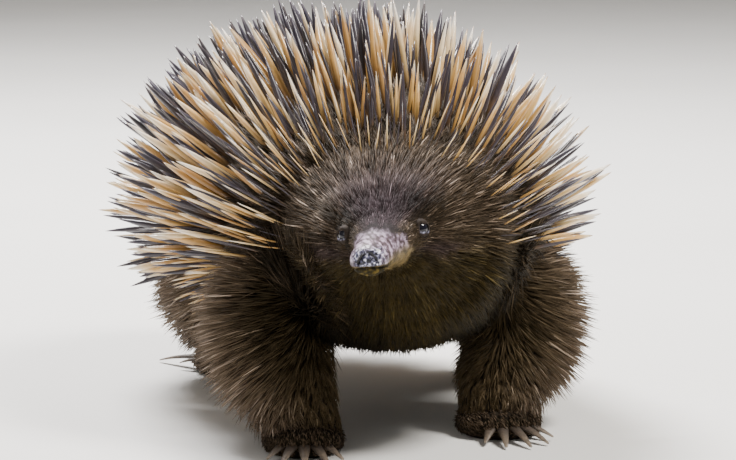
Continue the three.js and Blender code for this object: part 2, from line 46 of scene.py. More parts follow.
# The line of the body from the tip of the snout to the tip of the tail: middle x, y, z, half the
# width, height above, depth below, power of the rounding and roll in degrees
BODY = np.array([
    [-40.4, -204.6, 106.1, 3.2, 2.7, 2.6, 2.0, 5],
    [-40.0, -203.4, 106.1, 6.2, 5.2, 5.0, 2.0, 5],
    [-38.9, -199.9, 106.1, 8.4, 7.0, 6.9, 2.0, 5],
    [-36.1, -191.4, 106.4, 9.0, 7.6, 7.7, 2.0, 5],
    [-32.0, -179.0, 106.8, 9.8, 8.3, 8.6, 2.0, 5],
    [-27.7, -166.0, 107.2, 11.8, 9.8, 10.6, 2.0, 5],
    [-24.2, -153.5, 107.5, 15.6, 12.4, 13.2, 2.0, 5],
    [-22.3, -145.0, 107.6, 22.0, 17.0, 18.0, 2.0, 5],
    [-19.3, -133.5, 107.0, 32.0, 25.5, 26.5, 2.1, 4],
    [-14.8, -117.5, 105.5, 45.0, 35.5, 40.0, 2.1, 3],
    [-9.2, -97.5, 103.5, 57.0, 45.0, 53.0, 2.2, 2],
    [-5.0, -70.0, 102.0, 67.5, 52.0, 59.0, 2.1, 0],
    [-3.0, -35.0, 101.5, 76.0, 58.0, 60.0, 2.05, 0],
    [-5.0, 5.0, 101.0, 81.5, 61.5, 60.0, 2.05, 0],
    [-9.5, 45.0, 101.0, 82.5, 61.5, 59.0, 2.05, 0],
    [-15.0, 85.0, 100.0, 78.5, 57.5, 56.0, 2.05, 0],
    [-20.5, 118.0, 97.0, 67.5, 49.0, 47.0, 2.1, 0],
    [-25.5, 143.0, 92.0, 49.0, 36.5, 33.0, 2.1, 0],
    [-29.0, 160.0, 87.0, 28.5, 23.5, 19.0, 2.0, 0],
    [-31.3, 171.0, 82.5, 18.0, 15.5, 13.5, 2.0, 0],
    [-33.2, 181.0, 78.5, 13.0, 11.0, 10.5, 2.0, 0],
    [-34.4, 188.0, 75.5, 6.0, 5.5, 5.0, 2.0, 0],
])
LAST = len(BODY) - 1
# How far the skin lies under the outline of the solids, at body stations
SKIN_DEPTH = np.array([
    [0, 0], [5.2, 0], [6, 0.6], [7, 1.4], [8.5, 3], [10.5, 6], [17, 6], [18.5, 3], [21, 1.2],
])
# Rows of the body's skin: first and last station and how many, and the points of each
SKIN_ROWS, SKIN_COLUMNS = [(0, 3, 60), (3, 7.5, 110), (7.5, LAST, 170)], 132
# The rounded tip of the snout: size of each ring and how far it stands out, and how far the point does
TIP_RINGS, TIP_POINT = ((0.3, 0.85), (0.6, 0.62), (0.85, 0.3)), 0.95
# Nostrils across and up from the middle of the snout's tip: where each starts and ends, how far it
# curls, its width at the ends and more in the middle, and its depth, on so much of the tip
NOSTRIL = {
    "start": np.array([0.9, 3.6]), "end": np.array([4.6, -0.6]), "curl": 0.9, "width": 0.45, "wider": 0.6,
    "depth": 2.6, "tip": 6,
}
# The raised rim round each: how far out, how soft, how high, and its lowest point
RIM = {"out": 1.6, "soft": 0.4, "high": 0.45, "lowest": -2.5}
# The mouth: how far under the middle and how much lower for each millimetre back, half width, depth
# and where it fades
MOUTH = {"low": 2.9, "slope": 0.07, "half": 0.4, "depth": 1.1, "fade": (9, 14)}
# Grooves and folds end at these stations. The folds: size, seed, layers and depth of each kind, all
# drawn out along the snout
GROOVES_END, FOLDS_END = 4, 6.5
FOLDS, FOLD_STRETCH = ((6.0, 3, 3, 0.2), (2.2, 6, 2, 0.07)), [1, 0.3, 1]
# Where the hair starts on the snout: the station furthest forward and its angle in degrees, how much
# further back it starts on the other sides, the stations over which it grows dense, and how far
# forward, at which angle and over how many degrees a lobe of it reaches
FUR_LINE = {
    "start": 3.75, "angle": 97, "back": 1.1, "fade": 0.8, "lobe": 0.5, "lobe_angle": 44, "lobe_width": 26,
}

# Limbs: middle x, y, z, half width and half depth down the limb, then the paw's middle, half sizes,
# heading and claw lengths
LIMBS = {
    "front_right": {
        "line": [[-46, -52, 84, 22, 27], [-59, -58, 62, 27, 28], [-59, -72, 42, 25, 24],
                 [-54, -86, 24, 21.5, 19.5], [-52, -92, 13, 20, 18], [-51, -94, 4, 18, 17]],
        "paw": [-52, -97, 6], "half": [20.5, 21, 11], "turn": -8, "claws": [15, 21, 24, 22, 16], "spread": 17,
        "fan": [-42, -78, 73],
    },
    "front_left": {
        "line": [[46, -38, 84, 22, 27], [60, -40, 62, 27, 28], [60, -48, 42, 24.5, 24],
                 [51, -60, 24, 22.5, 20], [48.5, -66, 13, 21, 19], [48, -68, 4, 19.5, 18]],
        "paw": [47.5, -71, 6], "half": [22, 21, 11], "turn": 10, "claws": [16, 22, 24, 21, 15], "spread": 17,
        "fan": [46, -67, 80],
    },
    "hind_right": {
        "line": [[-58, 76, 84, 25, 36], [-68, 84, 62, 26, 33], [-66, 93, 40, 21, 25],
                 [-62, 100, 22, 14.5, 16], [-61, 104, 12, 13, 14], [-61, 105, 4, 12, 13]],
        "paw": [-63, 110, 5.5], "half": [15, 20, 9], "turn": -160, "claws": [8, 12, 18, 32, 10], "spread": 19,
    },
    "hind_left": {
        "line": [[46, 46, 84, 25, 36], [61, 50, 62, 26, 33], [67, 56, 40, 21, 25],
                 [69, 62, 22, 14.5, 16], [69, 66, 12, 13, 14], [69, 67, 4, 12, 13]],
        "paw": [71, 72, 5.5], "half": [15, 20, 9], "turn": 158, "claws": [10, 32, 18, 12, 8], "spread": 19,
    },
}
# How far a limb's skin lies under its outline near the body, the stations over which that ends towards
# the wrist, and the height over which the limb is inside the body
LIMB_SKIN_DEPTH, LIMB_DEPTH_ENDS = 4.0, (3, 5.2)
LIMB_TOP = 86
# How far a paw's skin lies under its outline, and how much and how widely its toes swell
PAW_SKIN_DEPTH = 1.5
TOE_SWELL, TOE_WIDTH = 0.13, 0.11
# Rows and columns of points of a limb's skin, a paw's and an eyeball
LIMB_GRID, PAW_GRID, EYE_GRID = (44, 56), (40, 88), (48, 64)
# The hair of a shoulder follows the way out from the fan point, less steep than it, and back
FAN_SHAPE = np.array([1.0, 1.0, 0.42])
FAN_BACK = np.array([0.0, 0.35, -0.04])
# Nothing of the coat hangs lower than this over the floor
FLOOR_GAP = 0.4
# Claws: half width and half thickness at the root, how far the root is sunk in and set back from the
# paw's rim, its height, the droop as a share of the length, the gap to the floor, and how much and by
# which power the claw gets thinner towards its tip
CLAW = {
    "half_wide": 3.0, "half_thick": 1.6, "sunk": 5, "set_back": 3.2, "height": 6.6, "droop": 0.3,
    "clear": 0.5, "thinner": 0.78, "power": 1.6,
}

# Eyes: station and angle on the body, how deep the ball's middle lies, its radius, and the bulge of its
# front as a share of it. Lids: half width of the opening and half heights above and below, seen from
# the ball's middle in radians, the share of a lid's loop that is outside, and where it ends
EYE = {"station": 6.7, "angle": 15, "deep": 2.4, "radius": 4.3, "bulge": 0.05}
LIDS = {"wide": 0.62, "above": 0.26, "below": 0.36, "outside": 0.62, "end": 1.75}

# Hollows where painted shade darkens the hair, middle and reach: beside the bridge of the snout, and
# between the cheeks and the front legs
SHADED_HOLLOWS = np.array([[-11, -146, 117, 8], [-40.5, -146, 118, 8], [38, -80, 73, 24], [-41, -92, 72, 24]])

# Spines by body station: lowest root in degrees under the widest line, lean towards the tail in
# degrees, length and half thickness
SPINES_START, SPINES_SPLIT, SPINES_END = 10.3, 13.2, 18.35
SPINE_EDGE = np.array([[10.3, 3], [11, 12], [12, 22], [14.5, 38], [18.3, 52]])
SPINE_LEAN = np.array([[8.6, 56], [9.6, 44], [10.4, 32], [12, 31], [14.5, 38], [18.3, 46]])
SPINE_LENGTH = np.array([
    [8.6, 13], [9.6, 18], [10.3, 28], [11, 42], [11.8, 49], [17.5, 49], [18.6, 30], [20.6, 25],
])
SPINE_RADIUS = np.array([
    [8.6, 0.32], [9.6, 0.5], [10.3, 0.95], [11, 1.65], [11.8, 2.2], [17.5, 2.2], [18.6, 1.6], [20.6, 1.3],
])
# How much the spines of the sides turn up, how deep their roots lie, and the share of the length and
# of the half thickness at each ring
SPINE_RISE, SPINE_SUNK, SPINE_SIDES = 0.42, 2.0, 7
SPINE_PROFILE = np.array([
    [0.0, 0.55], [0.16, 0.8], [0.36, 0.98], [0.56, 1.0], [0.72, 0.88], [0.86, 0.56], [0.95, 0.26],
])

# Length of the hair on the body by station, and on a limb by station of its line
HAIR_LENGTH = np.array([
    [3.7, 2.4], [4.6, 4.2], [5.3, 6.2], [6.2, 9], [7, 12], [8, 15], [9, 18], [10, 22], [11.5, 22], [18, 20],
    [20.5, 12],
])
LIMB_HAIR_LENGTH = np.array([[0, 22], [1.5, 26], [2.3, 23], [3.1, 15], [4.0, 10.5], [5, 9.5]])
# How many roots are drawn for each that is kept, the shares of a limb's and of the body's section in
# which none grow, and how deep a hair's root lies
DRAWS = 5
CLEAR_OF_LIMB, CLEAR_OF_BODY = 0.48, 0.74
HAIR_SUNK = 0.6
# A hair's bend as a share of its length, its half width at the root, and the height of its ridge, as
# shares of its half width
HAIR_BEND, HAIR_ROOT, HAIR_RIDGE = 0.55, 0.85, 0.6
# Side of the patch that a hair has on the map of the colours, and the map's scale and margin round it
PATCH, MAP_SCALE, MAP_MARGIN = 0.003, 0.985, 0.006
HAIRS_FRONT_LEG, HAIRS_HIND_LEG, HAIRS_PAW = 10500, 7500, 3200
# Size of the locks that the hair gathers in, and of the slow waves that it lies in
BODY_LOCK, LIMB_LOCK, BODY_WAVE, LIMB_WAVE = 5.0, 5.5, 26.0, 22.0
# Stations over which the grey of the forehead, the grey under the eyes and the olive end
GREY_ENDS, BAND_ENDS, OLIVE_ENDS = (6.4, 9.4), (7.5, 9.5), (11.5, 14.5)
# The grey under each eye: how far below and out its middle lies, its half sizes and its strength
BAND = {"below": 8, "out": 5, "half_tall": 4, "half_wide": 14, "grey": 0.55}
# How far a fan of hair reaches over the body beside a front limb, and the heights where it ends
FAN_REACH, FAN_TOP = 46, (88, 104)
# Stretch of the locks of the face, drawn out along its lie
FACE_STREAK = (1.2, 0.35, 0.6)

# Camera: degrees round and up, metres away from the point that it aims at, lens and film in
# millimetres, and how far it sees in metres
CAMERA = {"round": -10, "up": 8, "away": 1.6, "aim": [-4.0, 0.0, 91.0], "lens": 156.5, "film": 36, "far": 20}
# Lights: place, side of the square, power and colour, where they aim, and the world's colour and
# strength
LIGHTS = {
    "key": [(0.95, -0.5, 1.65), 0.55, 60, (1.0, 0.96, 0.90)],
    "fill": [(-1.5, -1.5, 1.0), 1.2, 7, (1.0, 0.96, 0.90)],
    "rim": [(-0.3, 1.1, 1.7), 0.7, 130, (1.0, 0.98, 0.97)],
}
LIGHTS_AIM = (0, 0, 0.1)
WORLD_COLOUR, WORLD_STRENGTH = (1.0, 0.97, 0.93, 1), 0.3
# Floor: half its width, where it starts, where it begins to curve up, radius of the curve and height
FLOOR = {"half": 8.0, "start": -6.0, "curve": 3.0, "radius": 1.5, "height": 6.0}


# Camera: first, on the photograph's line of sight
def add_camera():
    """A camera to the animal's right of its front, a little above it, aimed at its middle."""
    azimuth, elevation = math.radians(CAMERA["round"]), math.radians(CAMERA["up"])
    back = np.array([
        math.sin(azimuth) * math.cos(elevation),
        -math.cos(azimuth) * math.cos(elevation),
        math.sin(elevation),
    ])
    aim = (np.array(CAMERA["aim"]) - CENTRE) * MM
    data = bpy.data.cameras.new("camera")
    data.lens = CAMERA["lens"]
    data.sensor_width = CAMERA["film"]
    data.clip_end = CAMERA["far"]
    camera = bpy.data.objects.new("camera", data)
    bpy.context.scene.collection.objects.link(camera)
    camera.location = aim + back * CAMERA["away"]
    camera.rotation_euler = (math.pi / 2 - elevation, 0, azimuth)
    bpy.context.scene.camera = camera


add_camera()


# Numbers and vectors as whole arrays
def smooth_step(x, low, high):
    """0 below low, 1 above high, and 3t^2 - 2t^3 between."""
    t = np.clip((x - low) / (high - low), 0, 1)
    return t * t * (3 - 2 * t)


def fade_out(x, low, high):
    """1 below low and 0 above high."""
    return smooth_step(-x, -high, -low)


def full_circle(count):
    """So many even angles round a circle."""
    return np.arange(count) * 2 * np.pi / count


def table_at(table, x):
    """Straight lines between the rows of a two-column table."""
    return np.interp(x, table[:, 0], table[:, 1])


def unit(v):
    """Each vector divided by its length."""
    return v / np.maximum(np.linalg.norm(v, axis=-1, keepdims=True), 1e-12)


def curve_through(table, u):
    """Uniform Catmull-Rom curve through the table's rows at whole values of u."""
    last = len(table) - 1
    i = np.clip(np.floor(u).astype(int), 0, last - 1)
    f = (u - i)[..., None]
    a, b, c, d = (table[np.clip(i + k, 0, last)] for k in (-1, 0, 1, 2))
    return 0.5 * (2 * b + (c - a) * f + (2 * a - 5 * b + 4 * c - d) * f**2 + (3 * b - a - 3 * c + d) * f**3)


def wave_noise(p, scale, seed, octaves=3):
    """Smooth noise from -1 to 1: a sum of sines of the position along random directions."""
    random = np.random.default_rng(seed)
    total = np.zeros(p.shape[:-1])
    weight = 0.0
    for octave in range(octaves):
        for _ in range(5):
            direction = random.normal(size=3)
            direction *= 2**octave / scale / np.linalg.norm(direction)
            total += np.sin(2 * np.pi * (p @ direction) + random.uniform(0, 6.3)) * 0.6**octave
        weight += 5 * 0.6**octave
    return total / weight * 2.0


# The surfaces of the body and of a limb
def body_section(u):
    """Middle, axes and sizes of the body's section at u, square to the body's line and rolled about it."""
    row = curve_through(BODY, u)
    step = 0.02
    ahead = curve_through(BODY[:, :3], np.clip(u + step, 0, LAST))
    behind = curve_through(BODY[:, :3], np.clip(u - step, 0, LAST))
    along = unit(ahead - behind)
    level = unit(np.cross(along, [0.0, 0.0, 1.0]))
    upright = np.cross(level, along)
    roll = np.radians(row[..., 7:8])
    side = level * np.cos(roll) + upright * np.sin(roll)
    up = upright * np.cos(roll) - level * np.sin(roll)
    return row, side, up, along


def body_point(u, angle, grow=0.0):
    """Middle + side * half * c + up * height * s, with c and s the cosine and sine of the angle raised
    to 2 / power, and half and height grown outwards."""
    row, side, up, _ = body_section(u)
    c, s = np.cos(angle), np.sin(angle)
    power = 2 / row[..., 6]
    across = np.sign(c) * np.abs(c) ** power * (row[..., 3] + grow)
    height = np.where(s > 0, row[..., 4], row[..., 5]) + grow
    over = np.sign(s) * np.abs(s) ** power * height
    return row[..., :3] + side * across[..., None] + up * over[..., None]


def surface_frame(point, u, angle, top):
    """Outward normal and direction of growing u of a surface, from points a small step apart. Outward
    is away from the point across the section."""
    step = 0.03
    high, low = np.clip(u + step, 0, top), np.clip(u - step, 0, top)
    along = unit(point(high, angle) - point(low, angle))
    round_it = unit(point(u, angle + step) - point(u, angle - step))
    normal = unit(np.cross(round_it, along))
    outward = point(u, angle) - point(u, angle + np.pi)
    normal *= np.where(np.sum(normal * outward, -1, keepdims=True) < 0, -1.0, 1.0)
    return normal, along, round_it


def limb_section(line, u):
    """Middle, directions and half sizes of a limb's section, square to its line."""
    row = curve_through(line, u)
    step = 0.03
    top = len(line) - 1
    ahead = curve_through(line[:, :3], np.clip(u + step, 0, top))
    behind = curve_through(line[:, :3], np.clip(u - step, 0, top))
    down = unit(ahead - behind)
    side = unit(np.array([1.0, 0, 0]) - down * down[..., :1])
    fore = np.cross(down, side)
    return row, down, side, fore


def limb_point(line, u, angle, grow=0.0):
    """Middle + side * half width * cosine + fore * half depth * sine, grown outwards."""
    row, _, side, fore = limb_section(line, u)
    wide = (row[..., 3] + grow) * np.cos(angle)
    deep = (row[..., 4] + grow) * np.sin(angle)
    return row[..., :3] + side * wide[..., None] + fore * deep[..., None]


for limb in LIMBS.values():
    limb["line"] = np.array(limb["line"], float)


# Meshes
def to_metres(points):
    """Table positions in millimetres as metres about the part's origin."""
    return (points - CENTRE) * MM


def new_mesh(name, points, faces):
    """A smooth mesh object from a point array and an array of triangles or quads, all set at once."""
    mesh = bpy.data.meshes.new(name)
    corners = faces.shape[1]
    mesh.vertices.add(len(points))
    mesh.vertices.foreach_set("co", np.ascontiguousarray(points, dtype=np.float32).ravel())
    mesh.loops.add(faces.size)
    mesh.loops.foreach_set("vertex_index", np.ascontiguousarray(faces, dtype=np.int32).ravel())
    mesh.polygons.add(len(faces))
    mesh.polygons.foreach_set("loop_start", np.arange(0, faces.size, corners, dtype=np.int32))
    mesh.update(calc_edges=True)
    mesh.polygons.foreach_set("use_smooth", np.ones(len(faces), bool))
    thing = bpy.data.objects.new(name, mesh)
    bpy.context.scene.collection.objects.link(thing)
    return thing


def turned_out(corners, faces):
    """The faces, turned round where the volume inside their corners comes out negative."""
    volume = np.einsum("ij,ij->i", corners[:, 0], np.cross(corners[:, 1], corners[:, 2])).sum()
    return faces[:, ::-1] if volume < 0 else faces


def tube_faces(rows, columns):
    """Triangles of a closed tube of rings of points, with a pole point before and after them."""
    ring = np.arange(columns)
    after = (ring + 1) % columns
    base = np.arange(rows - 1)[:, None] * columns
    a, b = base + ring, base + after
    c, d = b + columns, a + columns
    walls = np.concatenate([np.stack([a, b, c], -1).reshape(-1, 3), np.stack([a, c, d], -1).reshape(-1, 3)])
    first, last = rows * columns, rows * columns + 1
    start = np.stack([np.full(columns, first), after, ring], -1)
    lift = (rows - 1) * columns
    end = np.stack([np.full(columns, last), ring + lift, after + lift], -1)
    return np.concatenate([walls, start, end])


def tube_mesh(name, rings, start, end):
    """A closed tube through rings of points, closed by a pole point at each end, faces outwards."""
    points = np.concatenate([rings.reshape(-1, 3), [start], [end]])
    faces = tube_faces(*rings.shape[:2])
    return new_mesh(name, points, turned_out(points[faces], faces))


def put_attribute(thing, name, values):
    """One number per point, which the materials read."""
    attribute = thing.data.attributes.new(name, "FLOAT", "POINT")
    attribute.data.foreach_set("value", np.ascontiguousarray(values, dtype=np.float32))


def points_of(thing):
    """The mesh's points as an array."""
    flat = np.empty(len(thing.data.vertices) * 3, np.float32)
    thing.data.vertices.foreach_get("co", flat)
    return flat.reshape(-1, 3).astype(float)


# The skin: body, limbs and paws as one closed surface
def skin_depth(u):
    """How far the skin lies under the solids' outline at u."""
    return table_at(SKIN_DEPTH, u)


def snout_grooves(points):
    """Depth of the nostrils, less the height of their rims, and of the line of the mouth. In the frame
    of the snout's tip, x across and y up, each is a bell curve of the distance to a line."""
    row, side, up, along = body_section(np.array([0.6]))
    local = points - row[0, :3]
    x, y, back = local @ side[0], local @ up[0], local @ along[0]
    depth = np.zeros(len(points))
    for sign in (-1, 1):
        start = NOSTRIL["start"] * [sign, 1]
        way = NOSTRIL["end"] * [sign, 1] - start
        t = np.clip(((x - start[0]) * way[0] + (y - start[1]) * way[1]) / (way @ way), 0, 1)
        curl = sign * NOSTRIL["curl"] * np.sin(np.pi * t)
        dx, dy = x - start[0] - way[0] * t - curl, y - start[1] - way[1] * t
        width = NOSTRIL["width"] + NOSTRIL["wider"] * np.sin(np.pi * np.clip(t, 0.05, 0.95))
        depth += NOSTRIL["depth"] * np.exp(-(dx**2 + dy**2) / width**2) * (back < NOSTRIL["tip"])
        rim = np.exp(-((np.hypot(dx, dy) - RIM["out"]) ** 2) / RIM["soft"])
        depth -= RIM["high"] * rim * (back < NOSTRIL["tip"]) * (y > RIM["lowest"])
    mouth = np.exp(-(((y + MOUTH["low"] + MOUTH["slope"] * back) / MOUTH["half"]) ** 2))
    return depth + MOUTH["depth"] * mouth * fade_out(back, *MOUTH["fade"])


def body_skin():
    """The body as a closed tube: rows close together on the snout, rings sunk by the depth of the coat,
    the snout rounded off, grooved and folded along the way out from its line."""
    u = np.concatenate([np.linspace(a, b, rows, endpoint=b == LAST) for a, b, rows in SKIN_ROWS])
    grid_u, grid_angle = np.meshgrid(u, full_circle(SKIN_COLUMNS), indexing="ij")
    rings = body_point(grid_u, grid_angle, -skin_depth(grid_u))
    row, _, _, along = body_section(np.array([0.0]))
    middle = row[0, :3]
    caps = [middle + (rings[0] - middle) * size - along[0] * out for size, out in TIP_RINGS]
    rings = np.concatenate([np.stack(caps), rings])
    all_u = np.repeat(np.concatenate([np.zeros(len(caps)), u]), SKIN_COLUMNS)
    flat = rings.reshape(-1, 3)
    near = all_u < GROOVES_END
    normal = unit(flat - curve_through(BODY[:, :3], np.maximum(all_u, 1.6)))
    flat[near] -= normal[near] * snout_grooves(flat[near])[:, None]
    fold = sum(wave_noise(flat * FOLD_STRETCH, size, seed, layers) * depth
               for size, seed, layers, depth in FOLDS)
    flat += normal * (fold * (all_u < FOLDS_END))[:, None]
    rings = flat.reshape(rings.shape)
    tail = curve_through(BODY[:, :3], np.array([float(LAST)]))[0] + np.array([0, 1.0, -0.4])
    return tube_mesh("skin", to_metres(rings), to_metres(middle - along[0] * TIP_POINT), to_metres(tail))


def limb_depth(u):
    """How far a limb's skin lies under its outline: less towards the wrist."""
    return LIMB_SKIN_DEPTH * fade_out(u, *LIMB_DEPTH_ENDS)


def limb_skin(name, limb):
    """A limb as a closed tube from inside the body to just over the floor."""
    line = limb["line"]
    rows, columns = LIMB_GRID
    u = np.linspace(0, len(line) - 1.15, rows)
    grid_u, grid_angle = np.meshgrid(u, full_circle(columns), indexing="ij")
    rings = limb_point(line, grid_u, grid_angle, -limb_depth(grid_u))
    ends = curve_through(line[:, :3], u[[0, -1]])
    return tube_mesh(name, to_metres(rings), to_metres(ends[0]), to_metres(ends[1]))


def paw_point(limb, polar, angle, grow=0.0):
    """A flattened ball turned to the paw's heading, swollen where each toe leaves it, with nothing under
    the floor: middle + turned (half sizes * ball)."""
    half = np.array(limb["half"], float) + grow
    turn = math.radians(limb["turn"])
    toes = np.zeros_like(angle)
    for i in range(5):
        way = -np.pi / 2 + math.radians((i - 2) * limb["spread"])
        off = np.angle(np.exp(1j * (angle - way)))
        toes += TOE_SWELL * np.exp(-((off / TOE_WIDTH) ** 2))
    ball = np.stack([
        np.cos(angle) * np.sin(polar) * (1 + toes), np.sin(angle) * np.sin(polar) * (1 + toes), np.cos(polar)
    ], -1) * half
    turned = np.stack([
        ball[..., 0] * math.cos(turn) - ball[..., 1] * math.sin(turn),
        ball[..., 0] * math.sin(turn) + ball[..., 1] * math.cos(turn),
        ball[..., 2],
    ], -1) + np.array(limb["paw"], float)
    turned[..., 2] = np.maximum(turned[..., 2], 0)
    return turned


def paw_skin(name, limb):
    """The paw's ball as a closed tube from its top to its flat sole."""
    rows, columns = PAW_GRID
    polar = np.linspace(0.06, np.pi - 0.06, rows)
    grid_polar, grid_angle = np.meshgrid(polar, full_circle(columns), indexing="ij")
    rings = paw_point(limb, grid_polar, grid_angle, -PAW_SKIN_DEPTH)
    middle = np.array(limb["paw"], float)
    top = middle + [0, 0, limb["half"][2] - PAW_SKIN_DEPTH]
    return tube_mesh(name, to_metres(rings), to_metres(top), to_metres(middle * [1, 1, 0]))


def joined(base, others):
    """One closed surface round the base and all the others."""
    for other in others:
        step = base.modifiers.new(other.name, "BOOLEAN")
        step.operation = "UNION"
        step.solver = "MANIFOLD"
        step.object = other
    graph = bpy.context.evaluated_depsgraph_get()
    mesh = bpy.data.meshes.new_from_object(base.evaluated_get(graph))
    base.modifiers.clear()
    old = base.data
    base.data = mesh
    bpy.data.meshes.remove(old)
    for other in others:
        bpy.data.objects.remove(other)
    return base


skin = body_skin()
others = [limb_skin("limb_" + name, limb) for name, limb in LIMBS.items()]
others += [paw_skin("sole_" + name, limb) for name, limb in LIMBS.items()]
skin = joined(skin, others)
skin.data.polygons.foreach_set("use_smooth", np.ones(len(skin.data.polygons), bool))


# Roots of the coat
def inside_limb(points, share):
    """True where a point lies within a share of a limb's section at its height."""
    found = np.zeros(len(points), bool)
    for limb in LIMBS.values():
        line = limb["line"]
        z = points[:, 2]
        x0, y0, wide, deep = (np.interp(-z, -line[:, 2], line[:, k]) for k in (0, 1, 3, 4))
        inside = ((points[:, 0] - x0) / wide) ** 2 + ((points[:, 1] - y0) / deep) ** 2 < share**2
        found |= inside & (z < LIMB_TOP)
    return found


def inside_body(points, share):
    """True where a point lies within a share of the body's section beside it."""
    u = np.interp(points[:, 1], BODY[:, 1], np.arange(len(BODY)))
    row = curve_through(BODY, u)
    height = np.where(points[:, 2] > row[:, 2], row[:, 4], row[:, 5])
    across, over = (points[:, 0] - row[:, 0]) / row[:, 3], (points[:, 2] - row[:, 2]) / height
    return across**2 + over**2 < share**2


def chosen(random, weight, count):
    """So many different rows, each drawn with a chance that follows its weight."""
    keys = np.log(random.uniform(size=len(weight)) + 1e-12) / np.maximum(weight, 1e-12)
    picked = np.argsort(-keys)[:count]
    return picked[weight[picked] > 0]


def roots_at(picked, u, angle, p, point, top):
    """What the tufts need to know of the picked roots: station, angle, place, outward normal, direction
    along the surface, and place on the map of the colours."""
    u, angle, p = u[picked], angle[picked], p[picked]
    normal, along, _ = surface_frame(point, u, angle, top)
    flat = np.stack([angle / (2 * np.pi) + 0.5, u / top], -1)
    return {"u": u, "angle": angle, "point": p, "normal": normal, "along": along, "flat": flat}


def body_roots(count, first, last, density, seed):
    """Random draws and roots on the body's skin, even by area times the density."""
    random = np.random.default_rng(seed)
    u = random.uniform(first, last, count * DRAWS)
    angle = random.uniform(-np.pi, np.pi, count * DRAWS)
    depth = -skin_depth(u)
    p = body_point(u, angle, depth)
    step = 0.02
    du = body_point(np.clip(u + step, 0, LAST), angle, depth) - p
    da = body_point(u, angle + step, depth) - p
    weight = np.linalg.norm(np.cross(du, da), axis=1) * density(u, angle, p)
    weight[inside_limb(p, CLEAR_OF_LIMB)] = 0
    return random, roots_at(chosen(random, weight, count), u, angle, p, body_point, LAST)


def limb_roots(count, limb, seed):
    """Random draws and roots on a limb's skin where it stands clear of the body, half as many again
    near the wrist."""
    random = np.random.default_rng(seed)
    line = limb["line"]
    top = len(line) - 1
    u = random.uniform(0.0, top - 0.1, count * DRAWS)
    angle = random.uniform(-np.pi, np.pi, count * DRAWS)
    p, ahead, beside = (limb_point(line, u + du, angle + da, -limb_depth(u + du))
                        for du, da in ((0, 0), (0.02, 0), (0, 0.02)))
    weight = np.linalg.norm(np.cross(ahead - p, beside - p), axis=1)
    weight *= 1 + 0.5 * (u > 3.4)
    weight[inside_body(p, CLEAR_OF_BODY)] = 0
    picked = chosen(random, weight, count)
    return random, roots_at(picked, u, angle, p, lambda u, a: limb_point(line, u, a), top)


def across_surface(direction, normal):
    """The part of a direction that lies in the surface, as a unit vector."""
    return unit(direction - normal * np.sum(direction * normal, -1, keepdims=True))


# Hair: thin bent blades of three sides
def closed_blades(name, rings, tips):
    """One mesh of many closed blades: walls between each blade's rings of points, a fan across its first
    ring and a point at its tip, turned so that the volume inside is positive."""
    count, levels, sides = rings.shape[:3]
    points = np.concatenate([rings.reshape(count, -1, 3), tips[:, None]], 1)
    j = np.arange(sides)
    a = np.arange(levels - 1)[:, None] * sides + j
    b = np.arange(levels - 1)[:, None] * sides + (j + 1) % sides
    last = (levels - 1) * sides
    pattern = np.concatenate([
        np.stack([a, b, b + sides], -1).reshape(-1, 3),
        np.stack([a, b + sides, a + sides], -1).reshape(-1, 3),
        np.stack([last + j, last + (j + 1) % sides, np.full(sides, last + sides)], -1),
        np.stack([np.zeros(sides - 2, int), j[2:], j[1:-1]], -1),
    ])
    faces = (np.arange(count)[:, None, None] * (levels * sides + 1) + pattern).reshape(-1, 3)
    corners = (points - points[:, :1])[:, pattern].reshape(-1, 3, 3)
    faces = turned_out(corners, faces)
    points[..., 2] = np.maximum(points[..., 2], FLOOR_GAP)
    return new_mesh(name, to_metres(points.reshape(-1, 3)), faces), faces


def bake_map(thing, faces, place):
    """The map that the colours are stored on, from one place for each point."""
    layer = thing.data.uv_layers.new(name="OFBake")
    layer.data.foreach_set("uv", place.reshape(-1, 2)[faces.ravel()].astype(np.float32).ravel())


def tufts(name, roots, lie, length, width, lean, bend, marks):
    """Closed blades on the roots. The middle line starts at an angle lean out of the skin and sinks by
    bend towards the lie; at each ring a triangle is set round it, wide and flat, and it ends in a
    point."""
    count = len(length)
    normal = roots["normal"]
    way = [unit(normal * np.sin(slope)[:, None] + lie * np.cos(slope)[:, None])
           for slope in (lean, lean - bend)]
    line = [roots["point"] - normal * HAIR_SUNK]
    for k, part in enumerate((HAIR_BEND, 1 - HAIR_BEND)):
        line.append(line[-1] + way[k] * (length * part)[:, None])
    rings = []
    for k, size in enumerate((HAIR_ROOT, 1.0)):
        flat_way = unit(np.cross(way[k], normal))
        over = np.cross(flat_way, way[k])
        w = (width * size)[:, None]
        corners = [line[k] - flat_way * w, line[k] + flat_way * w, line[k] + over * w * HAIR_RIDGE]
        rings.append(np.stack(corners, 1))
    thing, faces = closed_blades(name, np.stack(rings, 1), line[2])
    along = np.array([0, 0, 0, HAIR_BEND, HAIR_BEND, HAIR_BEND, 1.0])
    across = np.array([0, 1, 0.5, 0, 1, 0.5, 0.5])
    patch = np.stack([across - 0.5, along], -1) * PATCH
    bake_map(thing, faces, roots["flat"][:, None] * MAP_SCALE + MAP_MARGIN + patch)
    put_attribute(thing, "along", np.tile(along, count))
    for mark, values in marks.items():
        put_attribute(thing, mark, np.repeat(values, len(along)))
    return thing


def eye_middle(side):
    """Middle of an eyeball and its outward direction, a fixed depth under the skin at the eye."""
    angle = math.radians(EYE["angle"]) if side > 0 else math.pi - math.radians(EYE["angle"])
    u = np.array([EYE["station"]])
    normal, _, _ = surface_frame(body_point, u, np.array([angle]), LAST)
    return body_point(u, np.array([angle]), -skin_depth(u))[0] - normal[0] * EYE["deep"], normal[0]


EYES = {"right": eye_middle(-1), "left": eye_middle(1)}


